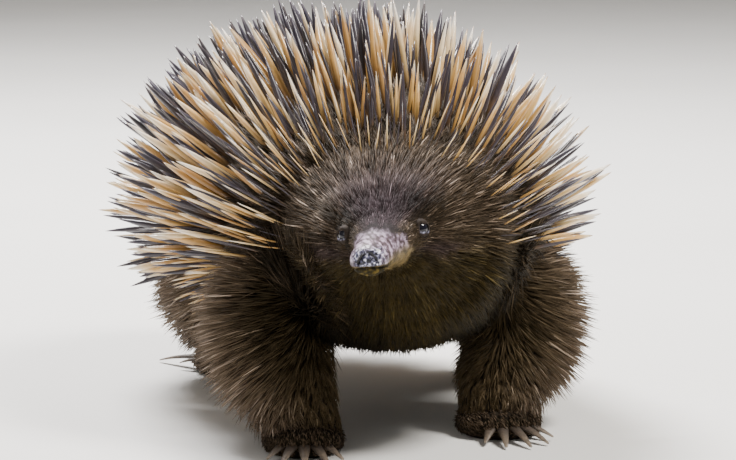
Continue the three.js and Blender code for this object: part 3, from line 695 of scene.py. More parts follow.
def eye_distance(p, upright=1.0):
    """Distance of each point to the nearer eye, with its upright part counted so many times."""
    right, left = (np.linalg.norm((p - middle) * [1, 1, upright], axis=-1) for middle, _ in EYES.values())
    return np.minimum(right, left)


def hollow(p):
    """How much painted shade the nearest hollow gives: 1 in its middle and 0 well away from it, as a bell
    curve.
    """
    far = np.linalg.norm(p[:, None] - SHADED_HOLLOWS[None, :, :3], axis=-1) / SHADED_HOLLOWS[:, 3]
    return np.exp(-far.min(1) ** 2)


def locks(p, across, scale, seed):
    """Noise that is high in the middle of each lock, and how strongly the strands beside it lean
    sideways towards it."""
    reach = across * scale * 0.2
    pull = wave_noise(p + reach, scale, seed, 2) - wave_noise(p - reach, scale, seed, 2)
    return wave_noise(p, scale, seed, 2), pull[:, None]


def strand_shade(random, p, lock, tone, pale, contrast=1.0):
    """Lightness of each strand: its lock's tone and a little of its own, a share of pale strands, and
    painted shade in the hollows."""
    own = tone + contrast * (0.13 * lock + random.normal(0, 0.10, len(p)))
    paler = random.uniform(0.15, 0.45, len(p)) * contrast
    own += np.where(random.uniform(size=len(p)) < pale * (1 + lock), paler, 0)
    # Painted shade: the hair is darker in the hollows.
    return np.clip(own - 0.5 * hollow(p), 0, 1)


def shoulder_fan(p, normal):
    """Direction out and back from the fan point of the nearer front limb, and how far the hair of the
    body beside it follows that direction: a bell curve of the distance, outwards and below only."""
    points = np.array([LIMBS["front_right"]["fan"], LIMBS["front_left"]["fan"]], float)
    left = (p[:, 0] > points[:, 0].mean()).astype(int)
    away = p - points[left]
    outward = away[:, 0] * (2 * left - 1)
    share = np.exp(-((np.linalg.norm(away, axis=1) / FAN_REACH) ** 4)) * smooth_step(outward, -8, 8)
    share *= fade_out(p[:, 2], *FAN_TOP)
    return across_surface(unit(away * FAN_SHAPE) + FAN_BACK, normal), share


def coat_marks(p, u, angle):
    """Grey of the forehead and of a band under each eye, and olive of the face's underside and the
    chest, each from 0 to 1. The skin and the hair over it share them."""
    middle = smooth_step(np.sin(angle), 0.5, 0.97)
    right, left = (np.abs(p[:, 2] - eye[2] + BAND["below"]) / BAND["half_tall"]
                   + np.abs(p[:, 0] - eye[0] - BAND["out"] * sign) / BAND["half_wide"]
                   for sign, (eye, _) in ((-1, EYES["right"]), (1, EYES["left"])))
    band = np.exp(-(np.minimum(right, left) ** 2)) * fade_out(u, *BAND_ENDS)
    grey = np.maximum(fade_out(u, *GREY_ENDS) * middle, BAND["grey"] * band)
    olive = fade_out(u, *OLIVE_ENDS) * smooth_step(-np.sin(angle), -0.2, 0.4) * (1 - band)
    return grey, olive


def body_hair(name, count, first, last, density, seed,
              scale=1.0, thick=0.42, tone=0.45, pale=0.1, streak=(1, 1, 1)):
    """Hair of the body between two stations: it lies back along the body, turns down on the flanks, is
    longest there, and hangs off the chest and belly. Its roots follow the density at each station,
    angle and place."""
    random, roots = body_roots(count, first, last, density, seed)
    u, angle, p, normal, along = (roots[key] for key in ("u", "angle", "point", "normal", "along"))
    number = len(u)
    low = smooth_step(-np.sin(angle), -0.25, 0.75)
    under = smooth_step(-np.sin(angle), 0.6, 0.97)
    back = smooth_step(u, 8.5, 11)
    down = across_surface(np.tile([0.0, 0.0, -1.0], (number, 1)), normal)
    across = np.cross(normal, along)
    lock, pull = locks(p * streak, across, BODY_LOCK, seed + 2)
    drift = wave_noise(p, BODY_WAVE, seed + 1)[:, None] * (0.06 + 0.16 * back[:, None])
    drift += random.normal(0, 0.04, (number, 1)) + pull * (0.08 + 0.42 * back[:, None])
    fan, fanned = shoulder_fan(p, normal)
    straight = along + down * (0.8 * low * back * (1 - under))[:, None]
    lie = unit(straight * (1 - fanned[:, None]) + fan * fanned[:, None] + across * drift)
    length = table_at(HAIR_LENGTH, u) * random.uniform(0.7, 1.2, number) * scale
    length *= 1 - 0.3 * under + 0.1 * fanned
    length *= 0.45 + 0.55 * smooth_step(eye_distance(p), 4.2, 9)
    spiny = smooth_step(u, 9.6, 11) * (1 - low)
    lean = 10 + 7 * smooth_step(u, 8, 10) + 26 * spiny + 12 * under
    lean = np.radians(lean + random.normal(0, 3.5, number))
    bend = np.radians(10 + random.uniform(0, 10, number))
    width = thick * (0.3 + 0.7 * smooth_step(u, 6.5, 11)) * random.uniform(0.7, 1.3, number)
    grey, olive = coat_marks(p, u, angle)
    # Painted shade: a darker ring of hair round the neck just behind the head.
    painted_neck_shade = 0.14 * smooth_step(u, 9.0, 10.2) * fade_out(u, 11, 12)
    # Painted light: a lighter strip of hair down the middle of the throat and chest.
    breast_light = 0.12 * np.exp(-(((p[:, 0] + 2) / 9) ** 2)) * under
    # Hair in a shoulder's fan is lighter and has more pale strands, like a limb's outer side: partly the
    # hair's own streaks and partly painted light.
    marks = {
        "shade": strand_shade(
            random, p, lock, tone - painted_neck_shade + breast_light + 0.08 * fanned, pale * (1 - 0.7 * low) + 0.2 * fanned),
        "grey": grey,
        "olive": olive * (1 - fanned),
    }
    return tufts(name, roots, lie, length, width, lean, bend, marks)


def limb_hair(name, count, limb, seed):
    """Hair of a limb: it sweeps outwards and back round the limb near the shoulder and hangs down it
    near the wrist. On a front limb it fans out from a point at the top of the limb's front."""
    random, roots = limb_roots(count, limb, seed)
    u, p, normal, along = (roots[key] for key in ("u", "point", "normal", "along"))
    number = len(u)
    side = np.sign(limb["paw"][0])
    outward = smooth_step(normal[:, 0] * side, -0.4, 0.8)
    across = np.cross(normal, along)
    lock, pull = locks(p, across, LIMB_LOCK, seed + 2)
    drift = wave_noise(p, LIMB_WAVE, seed + 1)[:, None] * 0.14
    drift = drift + random.normal(0, 0.06, (number, 1)) + pull * 0.4
    if "fan" in limb:
        way = unit((p - np.array(limb["fan"], float)) * FAN_SHAPE) + FAN_BACK
        fan = (1 - smooth_step(u, 2.6, 4.2))[:, None]
        lie = unit(across_surface(way, normal) * fan + along * (1.05 - fan) + across * drift)
    else:
        sweep = across_surface(np.tile([side * 1.0, 0.8, 0.0], (number, 1)), normal)
        swing = np.interp(u, [0.5, 2.0, 3.4, 4.6], [1.9, 1.15, 0.55, 0.15]) * (0.35 + 0.65 * outward)
        lie = unit(along + sweep * swing[:, None] + across * drift)
    length = table_at(LIMB_HAIR_LENGTH, u) * random.uniform(0.7, 1.2, number)
    length *= 0.75 + 0.35 * outward
    lean = np.radians(15 + 8 * outward + random.normal(0, 4, number))
    bend = np.radians(12 + random.uniform(0, 10, number))
    width = 0.42 * random.uniform(0.7, 1.3, number) * np.interp(u, [2, 4.5], [1, 0.75])
    marks = {
        # Hair on the outer side of the limb is lighter, painted light, and has more pale strands, partly the
        # hair's own streaks and partly painted highlights.
        "shade": strand_shade(random, p, lock, 0.56 + 0.11 * outward, 0.06 + 0.12 * outward, 0.62),
        "grey": np.zeros(number),
        "olive": 0.6 * (1 - outward),
    }
    return tufts(name, roots, lie, length, width, lean, bend, marks)


def paw_hair(name, count, limb, seed):
    """Short hair on top of a paw, lying towards its toes."""
    random = np.random.default_rng(seed)
    polar = np.arccos(random.uniform(-0.5, 1, count))
    angle = random.uniform(-np.pi, np.pi, count)
    p = paw_point(limb, polar, angle, -PAW_SKIN_DEPTH)
    step = 0.03
    normal = unit(np.cross(
        paw_point(limb, polar + step, angle) - paw_point(limb, polar - step, angle),
        paw_point(limb, polar, angle + step) - paw_point(limb, polar, angle - step),
    ))
    turn = math.radians(limb["turn"])
    heading = np.tile([math.sin(turn), -math.cos(turn), -0.25], (count, 1))
    keep = (p[:, 2] > PAW_SKIN_DEPTH) & ~inside_limb(p, 0.75)
    p, normal, heading, polar, angle = p[keep], normal[keep], heading[keep], polar[keep], angle[keep]
    number = len(p)
    lie = unit(across_surface(heading, normal) + random.normal(0, 0.15, (number, 3)))
    roots = {"point": p, "normal": normal, "flat": np.stack([angle / (2 * np.pi) + 0.5, polar / np.pi], -1)}
    length = random.uniform(4.5, 8.5, number) * (0.6 + 0.4 * np.maximum(np.cos(polar), 0))
    lean = np.radians(14 + random.normal(0, 4, number))
    marks = {
        "shade": np.clip(random.normal(0.52, 0.11, number), 0, 1),
        "grey": np.zeros(number),
        "olive": np.zeros(number),
    }
    return tufts(name, roots, lie, length, np.full(number, 0.27), lean, np.full(number, 0.2), marks)


def eye_clear(p):
    """No roots on the eyeballs and their lids, but closer to the ball above it."""
    above = smooth_step(p[:, 2] - EYES["left"][0][2], 0.5, 2.5)
    return smooth_step(eye_distance(p, 1.5) + 0.9 * above, 3.5, 4.3)


def fur_line(u, angle):
    """0 on the bare snout, rising to 1 behind a ragged line where its hair starts, further forward on
    top, with a rounded lobe on the upper left."""
    start = FUR_LINE["start"] + FUR_LINE["back"] * (1 - np.cos(angle - math.radians(FUR_LINE["angle"])))
    off = (np.degrees(angle) - FUR_LINE["lobe_angle"]) / FUR_LINE["lobe_width"]
    start -= FUR_LINE["lobe"] * np.exp(-(off**2))
    ragged = 0.10 * np.sin(9 * angle + 1.3) + 0.06 * np.sin(23 * angle)
    return smooth_step(u - start + ragged, 0, FUR_LINE["fade"])


def spine_edge(u):
    """Lowest angle of the spines under the widest line at u, in radians."""
    return np.radians(table_at(SPINE_EDGE, u))


def over_edge(u, angle):
    """1 above the lowest row of spines, 0 well below it."""
    rise = np.sin(angle) + np.sin(spine_edge(u))
    return smooth_step(rise, -0.1, 0.12) * smooth_step(u, 10.2, 10.9)


hair = [
    body_hair("hair_muzzle", 15000, 3.7, 7.7,
              lambda u, a, p: eye_clear(p) * (0.02 + fur_line(u, a)) * (fur_line(u, a) > 0),
              101, pale=0.06, streak=FACE_STREAK),
    body_hair("hair_head", 19500, 7.4, 10.6,
              lambda u, a, p: eye_clear(p) * (0.35 + fade_out(u, 7.8, 9.8)),
              111, pale=0.08, streak=FACE_STREAK),
    body_hair("hair_neck", 14000, 8.8, 11.4, lambda u, a, p: np.ones_like(u), 121, tone=0.4, pale=0.14),
    body_hair("hair_back", 12500, 10.6, 20.4, lambda u, a, p: over_edge(u, a) + 0.02,
              131, scale=1.15, thick=0.6, tone=0.36),
    body_hair("hair_flank", 15000, 10.4, 19.5,
              lambda u, a, p: 1.02 - over_edge(u, a) * smooth_step(np.sin(a), -0.35, 0.2),
              141, scale=1.1, tone=0.5, pale=0.18),
    body_hair("hair_belly", 8500, 9.2, 18.5, lambda u, a, p: smooth_step(-np.sin(a), 0.25, 0.6),
              151, tone=0.22),
]
for i, (name, limb) in enumerate(LIMBS.items()):
    count = HAIRS_FRONT_LEG if "front" in name else HAIRS_HIND_LEG
    hair.append(limb_hair("hair_leg_" + name, count, limb, 201 + 10 * i))
    hair.append(paw_hair("hair_paw_" + name, HAIRS_PAW, limb, 301 + 10 * i))


# Spines
def spine_roots(spacing, first, last, seed, overhang=0.0, band=4.0):
    """Rows over the back at even distances, each with roots at even distances along the skin, every
    second row shifted by half a step, all moved a little at random. Only roots within a band of angle
    over the lowest one are kept."""
    random = np.random.default_rng(seed)
    fine = np.linspace(first, last, 400)
    top = body_point(fine, np.full(400, np.pi / 2))
    run = np.concatenate([[0], np.cumsum(np.linalg.norm(np.diff(top, axis=0), axis=1))])
    rows = np.interp(np.arange(0, run[-1], spacing * 0.87), run, fine)
    found_u, found_angle = [], []
    for k, u in enumerate(rows):
        edge = float(spine_edge(u)) + overhang
        arc = np.linspace(-edge, np.pi + edge, 160)
        ring = body_point(np.full(160, u), arc)
        along = np.concatenate([[0], np.cumsum(np.linalg.norm(np.diff(ring, axis=0), axis=1))])
        count = max(3, int(round(along[-1] / spacing)))
        places = (np.arange(count) + (0.25 if k % 2 else 0.75)) / count * along[-1]
        row = np.interp(places, along, arc)
        row = row[np.minimum(row + edge, np.pi + edge - row) < band]
        found_angle.append(row)
        found_u.append(np.full(len(row), u))
    u, angle = np.concatenate(found_u), np.concatenate(found_angle)
    u = np.clip(u + random.normal(0, spacing * 0.009, len(u)), first, last)
    angle = angle + random.normal(0, spacing * 0.0035, len(u))
    return u, angle, random


def spines(name, roots, dark, size=1.0, reach=1.0, lift=0.0):
    """Slim spindles: rings of points round a slightly bent line. The radius rises slowly from the root
    to past the middle of the length and falls to a sharp tip. On the sides they turn up a little. Each
    has a cell of its own on the map of the colours, in rows from the neck to the tail."""
    u, angle, random = roots
    number = len(u)
    p = body_point(u, angle, -skin_depth(u))
    normal, along, round_it = surface_frame(body_point, u, angle, LAST)
    lean = np.radians(table_at(SPINE_LEAN, u) - lift + random.normal(0, 4.5, number))
    clump = wave_noise(p, 30.0, 17) * 0.10 + wave_noise(p, 13.0, 18) * 0.06 + random.normal(0, 0.07, number)
    high = np.maximum(np.sin(angle), 0)
    turned_up = SPINE_RISE * (1 - high) * np.sign(np.cos(angle)) + clump
    way = unit(normal * np.cos(lean)[:, None] + along * np.sin(lean)[:, None] + round_it * turned_up[:, None])
    length = table_at(SPINE_LENGTH, u) * reach * (0.92 + 0.12 * high) * random.uniform(0.8, 1.1, number)
    length = length + skin_depth(u) + SPINE_SUNK
    radius = table_at(SPINE_RADIUS, u) * size * random.uniform(0.75, 1.15, number)
    heights, profile = SPINE_PROFILE.T
    start = p - normal * SPINE_SUNK
    bow = unit(np.cross(way, random.normal(size=(number, 3))))
    arch = length * random.uniform(0.01, 0.05, number)
    sides = SPINE_SIDES
    turn = full_circle(sides)
    ring = bow[:, None] * np.cos(turn)[:, None] + np.cross(way, bow)[:, None] * np.sin(turn)[:, None]
    middles = [start + way * (length * h)[:, None] + bow * (arch * h * h)[:, None] for h in (*heights, 1.0)]
    rings = [m[:, None] + ring * (radius * r)[:, None, None] for m, r in zip(middles, profile)]
    thing, faces = closed_blades(name, np.stack(rings, 1), middles[-1])
    levels = len(heights)
    per = levels * sides + 1
    rise = np.concatenate([np.repeat(heights, sides), [1.0]])
    around = np.concatenate([np.tile(np.abs(np.arange(sides) / (sides / 2) - 1), levels), [0.5]])
    cells = int(math.ceil(math.sqrt(number)))
    line = np.argsort(np.argsort(u, kind="stable")) // cells
    within = np.empty(number, int)
    for k in range(cells):
        group = np.nonzero(line == k)[0]
        within[group[np.argsort(angle[group])]] = np.arange(len(group))
    corner = np.stack([(within + 0.15) / cells, (line + 0.1) / cells], -1)
    bake_map(thing, faces, corner[:, None] + np.stack([around * 0.7, rise * 0.8], -1) / cells)
    put_attribute(thing, "along", np.tile(rise, number))
    put_attribute(thing, "dark", np.repeat((random.uniform(size=number) < dark(u, angle)).astype(float), per))
    put_attribute(thing, "shade", np.repeat(random.uniform(size=number), per))
    return thing


def split(roots, u):
    """The roots before and behind station u."""
    return [(roots[0][part], roots[1][part], roots[2]) for part in (roots[0] < u, roots[0] >= u)]


def mostly_light(u, angle):
    """Share of dark spines among the long ones: few at the shoulders, about half at the rump."""
    top = smooth_step(np.sin(angle), 0.6, 1) * smooth_step(u, 11, 13)
    return 0.05 + 0.38 * smooth_step(u, 11.5, 15.5) + 0.15 * top


def even(share):
    """The same share of dark spines everywhere."""
    return lambda u, angle: share


long_spines = split(spine_roots(12.6, SPINES_START, SPINES_END, 401), SPINES_SPLIT)
fill_spines = split(spine_roots(12.0, SPINES_START + 0.15, SPINES_END, 411), SPINES_SPLIT)
coat_spines = [
    spines("spines_shoulder", long_spines[0], mostly_light, size=0.95),
    spines("spines_rump", long_spines[1], mostly_light, size=0.98),
    spines("dark_spines_shoulder", fill_spines[0], even(0.86), size=0.7, reach=0.9),
    spines("dark_spines_rump", fill_spines[1], even(0.86), size=0.85, reach=0.98),
    spines("spines_tail", spine_roots(8.0, 18.45, 20.6, 431), mostly_light),
    spines("bristles_crown", spine_roots(6.4, 9.3, 10.9, 441, 0.15), even(0.5), size=0.7),
    spines("bristles_edge", spine_roots(7.2, 11.6, 18.0, 451, 0.34, 0.62), even(0.35),
           size=0.42, reach=0.62, lift=4),
]


# Eyes and lids
def basis_at(direction, up):
    """Axes across and up on a plane that faces a direction."""
    across = unit(np.cross(up, direction))
    return across, np.cross(direction, across)


def eyeball(name, side):
    """A ball with a low bulge over its front: radius * (1 + bulge * bell of the angle from the front)."""
    middle, out = EYES[side]
    across, up = basis_at(out, np.array([0, 0, 1.0]))
    rows, columns = EYE_GRID
    q, a = np.meshgrid(np.linspace(0.03, np.pi - 0.03, rows), full_circle(columns), indexing="ij")
    radius = EYE["radius"] * (1 + EYE["bulge"] * np.exp(-((q / 0.45) ** 2)))
    rings = middle + (across * (np.cos(a) * np.sin(q) * radius)[..., None]
                      + up * (np.sin(a) * np.sin(q) * radius)[..., None]
                      + out * (np.cos(q) * radius)[..., None])
    front, rear = middle + out * EYE["radius"] * (1 + EYE["bulge"]), middle - out * EYE["radius"]
    return tube_mesh(name, to_metres(rings), to_metres(front), to_metres(rear))


def eyelids(name, side):
    """A soft ring round an almond opening: for each way round, a closed loop of (angle from the front,
    distance from the ball's middle), thick and rolled at the rim and sunk in the skin outside."""
    middle, out = EYES[side]
    sign = -1 if side == "right" else 1
    across, up = basis_at(out, np.array([0.1 * sign, 0, 1.0]))
    around, loop = 96, 28
    a = full_circle(around)
    f = np.arange(loop) / loop
    tall = np.where(np.sin(a) > 0, LIDS["above"], LIDS["below"])
    opening = LIDS["wide"] * np.abs(np.cos(a)) ** 1.4 + tall * np.abs(np.sin(a)) ** 1.2
    outer = f < LIDS["outside"]
    t = np.where(outer, f / LIDS["outside"], (1 - f) / (1 - LIDS["outside"]))
    theta = opening[:, None] + (LIDS["end"] - opening[:, None]) * t[None]
    lip = np.sin(np.pi * np.clip(t * 3.2, 0, 1))
    outside = 0.3 + 0.3 * lip + 0.2 * np.sin(np.pi * t) - 1.3 * t**3
    rise = EYE["radius"] + np.where(outer, outside, 0.1 - 1.0 * t**3)
    rise = np.broadcast_to(rise, theta.shape)
    brow = 0.5 * smooth_step(np.sin(a), 0.2, 0.9)[:, None] * np.where(outer, np.sin(np.pi * t), 0)[None]
    crease = 0.10 * np.sin(t * 40)[None] * np.where(outer & (t > 0.3), 1, 0)[None]
    radius = rise + brow + crease
    points = middle + (across * (np.cos(a)[:, None] * np.sin(theta) * radius)[..., None]
                       + up * (np.sin(a)[:, None] * np.sin(theta) * radius)[..., None]
                       + out * (np.cos(theta) * radius)[..., None])
    index = np.arange(around * loop).reshape(around, loop)
    p, q = index, np.roll(index, -1, 0)
    r, s = np.roll(q, -1, 1), np.roll(p, -1, 1)
    faces = np.stack([p, q, r, s], -1).reshape(-1, 4)
    flat = points.reshape(-1, 3)
    thing = new_mesh(name, to_metres(flat), turned_out(flat[faces] - middle, faces))
    put_attribute(thing, "lower", np.outer(smooth_step(-np.sin(a), 0.2, 0.8), fade_out(t, 0.06, 0.2)).ravel())
    return thing


# Claws
def claw_piece(name, limb, i):
    """A horn carried along a drooping line: ellipse sections that shrink by 1 - thinner * f^power, flatter
    below than above."""
    turn = math.radians(limb["turn"])
    way = turn + math.radians((i - 2) * limb["spread"])
    direction = np.array([math.sin(way), -math.cos(way), 0])
    heading = np.array([math.sin(turn), -math.cos(turn), 0])
    across = np.array([-heading[1], heading[0], 0])
    length = limb["claws"][i]
    start = np.array([limb["paw"][0], limb["paw"][1], CLAW["height"]])
    start = start + direction * (limb["half"][1] - CLAW["set_back"]) + across * (i - 2) * -0.4
    size = 0.75 + 0.3 * min(length / 16, 1)
    sideways = np.array([-direction[1], direction[0], 0])
    whole = CLAW["sunk"] + length
    drop = min(CLAW["droop"] * length, start[2] - CLAW["clear"] - CLAW["half_thick"] * 0.4)
    f = np.linspace(0, 0.97, 22)
    sides = 20
    grid_f, grid_a = np.meshgrid(f, full_circle(sides), indexing="ij")
    up = np.array([0, 0, 1])
    middle = start + direction * (whole * grid_f - CLAW["sunk"])[..., None]
    middle = middle - up * (drop * grid_f**2)[..., None]
    thin = 1 - CLAW["thinner"] * grid_f ** CLAW["power"]
    under = np.where(np.sin(grid_a) < 0, 0.7, 1.0)
    rings = (middle + sideways * (CLAW["half_wide"] * size * thin * np.cos(grid_a))[..., None]
             + up * (CLAW["half_thick"] * size * thin * np.sin(grid_a) * under)[..., None])
    tip = start + direction * (length + 0.2) - up * drop
    thing = tube_mesh(name, to_metres(rings), to_metres(middle[0, 0]), to_metres(tip))
    put_attribute(thing, "along", np.concatenate([np.repeat(f, sides), [0, 1]]))
    return thing


eyes = {side: eyeball("eyeball_" + side, side) for side in EYES}
lids = [eyelids("eyelids_" + side, side) for side in EYES]
claws = {
    f"claw_{name}_{i + 1}": claw_piece(f"horn_{name}_{i + 1}", limb, i)
    for name, limb in LIMBS.items() for i in range(5)
}


# Materials
class Finish:
    """A node material with its principled shader's plain values set on the shader itself, and the
    nodes that feed it."""

    def __init__(self, name, roughness, **sockets):
        self.made = bpy.data.materials.new(name)
        self.made.use_nodes = True
        self.nodes, self.links = self.made.node_tree.nodes, self.made.node_tree.links
        self.shader = self.nodes["Principled BSDF"]
        self.shader.inputs["Roughness"].default_value = roughness
        for socket, value in sockets.items():
            self.shader.inputs[socket.replace("_", " ")].default_value = value

    def mark(self, name):
        """The value of a point attribute."""
        node = self.nodes.new("ShaderNodeAttribute")
        node.attribute_name = name
        return node.outputs["Fac"]

    def ramp(self, source, stops):
        """A colour ramp with the given stops."""
        node = self.nodes.new("ShaderNodeValToRGB")
        elements = node.color_ramp.elements
        while len(elements) < len(stops):
            elements.new(0.5)
        for element, (place, colour) in zip(elements, stops):
            element.position = place
            element.color = (*colour, 1)
        self.links.new(source, node.inputs["Fac"])
        return node.outputs["Color"]

    def mix(self, share, a, b, mode="MIX"):
        """Two colours mixed by a share, each a socket or a plain value."""
        node = self.nodes.new("ShaderNodeMix")
        node.data_type = "RGBA"
        node.blend_type = mode
        for socket, value in zip((node.inputs[0], node.inputs[6], node.inputs[7]), (share, a, b)):
            if isinstance(value, bpy.types.NodeSocket):
                self.links.new(value, socket)
            else:
                socket.default_value = value if isinstance(value, float) else (*value, 1)
        return node.outputs[2]

    def add(self, a, b):
        """The sum of two values."""
        node = self.nodes.new("ShaderNodeMath")
        node.operation = "ADD"
        self.links.new(a, node.inputs[0])
        self.links.new(b, node.inputs[1])
        return node.outputs[0]

    def noise(self, scale, detail, stretch=(1, 1, 1)):
        """Noise on Object coordinates."""
        place = self.nodes.new("ShaderNodeTexCoord")
        mapping = self.nodes.new("ShaderNodeMapping")
        mapping.inputs["Scale"].default_value = stretch
        node = self.nodes.new("ShaderNodeTexNoise")
        node.inputs["Scale"].default_value = scale
        node.inputs["Detail"].default_value = detail
        self.links.new(place.outputs["Object"], mapping.inputs["Vector"])
        self.links.new(mapping.outputs["Vector"], node.inputs["Vector"])
        return node.outputs["Fac"]

    def feed(self, source, socket):
        """Links a source to a socket of the shader."""
        self.links.new(source, self.shader.inputs[socket])

    def bump(self, height, strength, distance):
        """Bump from a height."""
        node = self.nodes.new("ShaderNodeBump")
        node.inputs["Strength"].default_value = strength
        node.inputs["Distance"].default_value = distance
        self.links.new(height, node.inputs["Height"])
        self.feed(node.outputs["Normal"], "Normal")


def spine_material():
    """Horn: dark root, olive gold middle, tan upper half and cream just under a brown point, or a tan
    root and a violet-black upper half with a paler point that is a painted highlight."""
    look = Finish("spine_horn", 0.34, Specular_IOR_Level=0.3, Coat_Roughness=0.1)
    along = look.mark("along")
    shade = look.mark("shade")
    dull = look.mark("dark")
    look.feed(look.ramp(dull, [(0.0, (0.5, 0.5, 0.5)), (1.0, (0.35, 0.35, 0.35))]), "Coat Weight")
    golden = look.ramp(along, [
        (0.0, (0.020, 0.012, 0.005)), (0.24, (0.045, 0.026, 0.009)), (0.38, (0.26, 0.150, 0.040)),
        (0.58, (0.54, 0.335, 0.100)), (0.80, (0.78, 0.48, 0.175)), (0.93, (1.0, 0.87, 0.63)),
        (1.0, (0.38, 0.20, 0.10)),
    ])
    pale = look.ramp(along, [
        (0.0, (0.020, 0.012, 0.005)), (0.24, (0.050, 0.031, 0.014)), (0.38, (0.30, 0.20, 0.080)),
        (0.58, (0.64, 0.47, 0.22)), (0.80, (1.0, 0.83, 0.57)), (0.93, (1.0, 0.97, 0.90)),
        (1.0, (0.45, 0.28, 0.16)),
    ])
    light = look.mix(look.ramp(shade, [(0.5, (0, 0, 0)), (0.8, (1, 1, 1))]), golden, pale)
    # Dark spines: a violet-black upper half that ends in a paler lilac point, a painted highlight.
    dark = look.ramp(along, [
        (0.0, (0.020, 0.012, 0.006)), (0.22, (0.055, 0.032, 0.016)), (0.36, (0.110, 0.066, 0.036)),
        (0.48, (0.050, 0.039, 0.048)), (0.85, (0.034, 0.030, 0.048)), (1.0, (0.145, 0.127, 0.160)),
    ])
    colour = look.mix(dull, light, dark)
    tint = look.ramp(shade, [
        (0.0, (0.50, 0.42, 0.33)), (0.25, (0.85, 0.78, 0.68)), (0.55, (1.0, 1.0, 1.0)),
        (1.0, (0.98, 0.95, 0.93)),
    ])
    colour = look.mix(1.0, colour, tint, "MULTIPLY")
    streak = look.ramp(look.noise(300, 3), [(0.3, (0.76, 0.70, 0.64)), (0.65, (1, 1, 1))])
    look.feed(look.mix(0.5, colour, streak, "MULTIPLY"), "Base Color")
    look.bump(look.noise(1200, 2), 0.08, 0.0002)
    return look.made


def hair_material():
    """Coarse hair: near black roots, brown lengths with paler tips, greyer on the forehead and olive
    under the face."""
    look = Finish("hair", 0.55, Specular_IOR_Level=0.08)
    along = look.mark("along")
    shade = look.mark("shade")
    body = look.ramp(shade, [
        (0.0, (0.010, 0.007, 0.003)), (0.4, (0.041, 0.028, 0.016)), (0.75, (0.150, 0.108, 0.074)),
        (1.0, (0.50, 0.40, 0.32)),
    ])
    grey = look.ramp(shade, [
        (0.0, (0.012, 0.007, 0.008)), (0.4, (0.040, 0.026, 0.031)), (0.75, (0.094, 0.065, 0.077)),
        (1.0, (0.32, 0.25, 0.29)),
    ])
    olive = look.ramp(shade, [
        (0.0, (0.005, 0.0035, 0.0008)), (0.4, (0.024, 0.0165, 0.004)), (0.75, (0.062, 0.044, 0.012)),
        (1.0, (0.16, 0.12, 0.045)),
    ])
    colour = look.mix(look.mark("grey"), body, grey)
    colour = look.mix(look.mark("olive"), colour, olive)
    root = look.ramp(along, [(0.0, (0.42, 0.39, 0.36)), (0.5, (0.88, 0.87, 0.86)), (1.0, (1.0, 1.0, 1.0))])
    look.feed(look.mix(1.0, colour, root, "MULTIPLY"), "Base Color")
    return look.made


def skin_material():
    """Skin: lilac-grey, wet and pored on the bare snout, dark round the nostrils with painted glints on the
    nose pad, brown at its lower edge, olive-brown darkened by painted shade under its tip, painted shade in
    the nostrils and the mouth and darker towards the hair, and dull and near black under the hair and on the
    soles."""
    look = Finish("skin", 0.4, Specular_IOR_Level=0.14, Coat_Roughness=0.07)
    blotch = look.noise(460, 6, (1, 0.28, 1))
    fine = look.noise(1500, 3)
    bare = look.mark("bare")
    pink = look.ramp(blotch, [
        (0.41, (0.065, 0.045, 0.052)), (0.46, (0.140, 0.098, 0.124)), (0.52, (0.250, 0.185, 0.245)),
        (0.58, (0.46, 0.37, 0.47)),
    ])
    pores = look.ramp(look.noise(620, 2, (1, 0.6, 1)), [(0.50, (1, 1, 1)), (0.57, (0.05, 0.035, 0.04))])
    pink = look.mix(look.mark("pored"), pink, pores, "MULTIPLY")
    # The nose pad: near black, blue-grey and violet mottles with near-white spots that are painted wet
    # glints.
    nose = look.ramp(look.noise(760, 4), [
        (0.42, (0.004, 0.005, 0.012)), (0.49, (0.055, 0.055, 0.10)), (0.56, (0.24, 0.24, 0.38)),
        (0.63, (0.90, 0.88, 1.0)),
    ])
    # Under the tip: olive-brown skin, made darker still as painted shade.
    below = look.ramp(blotch, [
        (0.38, (0.008, 0.006, 0.001)), (0.5, (0.022, 0.016, 0.002)), (0.62, (0.09, 0.062, 0.012)),
    ])
    side = look.ramp(blotch, [(0.38, (0.075, 0.052, 0.014)), (0.62, (0.25, 0.175, 0.06))])
    colour = look.mix(look.mark("flank"), pink, side)
    colour = look.mix(look.mark("nose"), colour, nose)
    colour = look.mix(look.mark("under"), colour, below)
    dark = look.ramp(blotch, [(0.3, (0.012, 0.008, 0.006)), (0.7, (0.030, 0.021, 0.015))])
    violet = look.ramp(blotch, [(0.3, (0.013, 0.009, 0.010)), (0.7, (0.032, 0.024, 0.027))])
    dark = look.mix(look.mark("grey"), dark, violet)
    olive = look.ramp(blotch, [(0.3, (0.006, 0.0045, 0.001)), (0.7, (0.018, 0.013, 0.004))])
    dark = look.mix(look.mark("olive"), dark, olive)
    colour = look.mix(bare, dark, colour)
    # Painted shade in the nostrils and the line of the mouth, and a darkening of the bare skin towards the
    # hair.
    groove_shade_and_fade = look.ramp(look.mark("groove_shade_and_fade"), [(0.0, (1, 1, 1)), (1.0, (0.03, 0.025, 0.03))])
    colour = look.mix(1.0, colour, groove_shade_and_fade, "MULTIPLY")
    look.feed(colour, "Base Color")
    wet = look.mix(look.mark("under"), bare, (0.08, 0.08, 0.08))
    glaze = look.ramp(wet, [(0.0, (0, 0, 0)), (1.0, (0.12, 0.12, 0.12))])
    look.feed(look.mix(look.mark("nose"), glaze, (0.55, 0.55, 0.55)), "Coat Weight")
    look.feed(look.ramp(wet, [(0.0, (0.9, 0.9, 0.9)), (1.0, (0.42, 0.42, 0.42))]), "Roughness")
    look.bump(look.add(blotch, fine), 0.6, 0.0005)
    return look.made


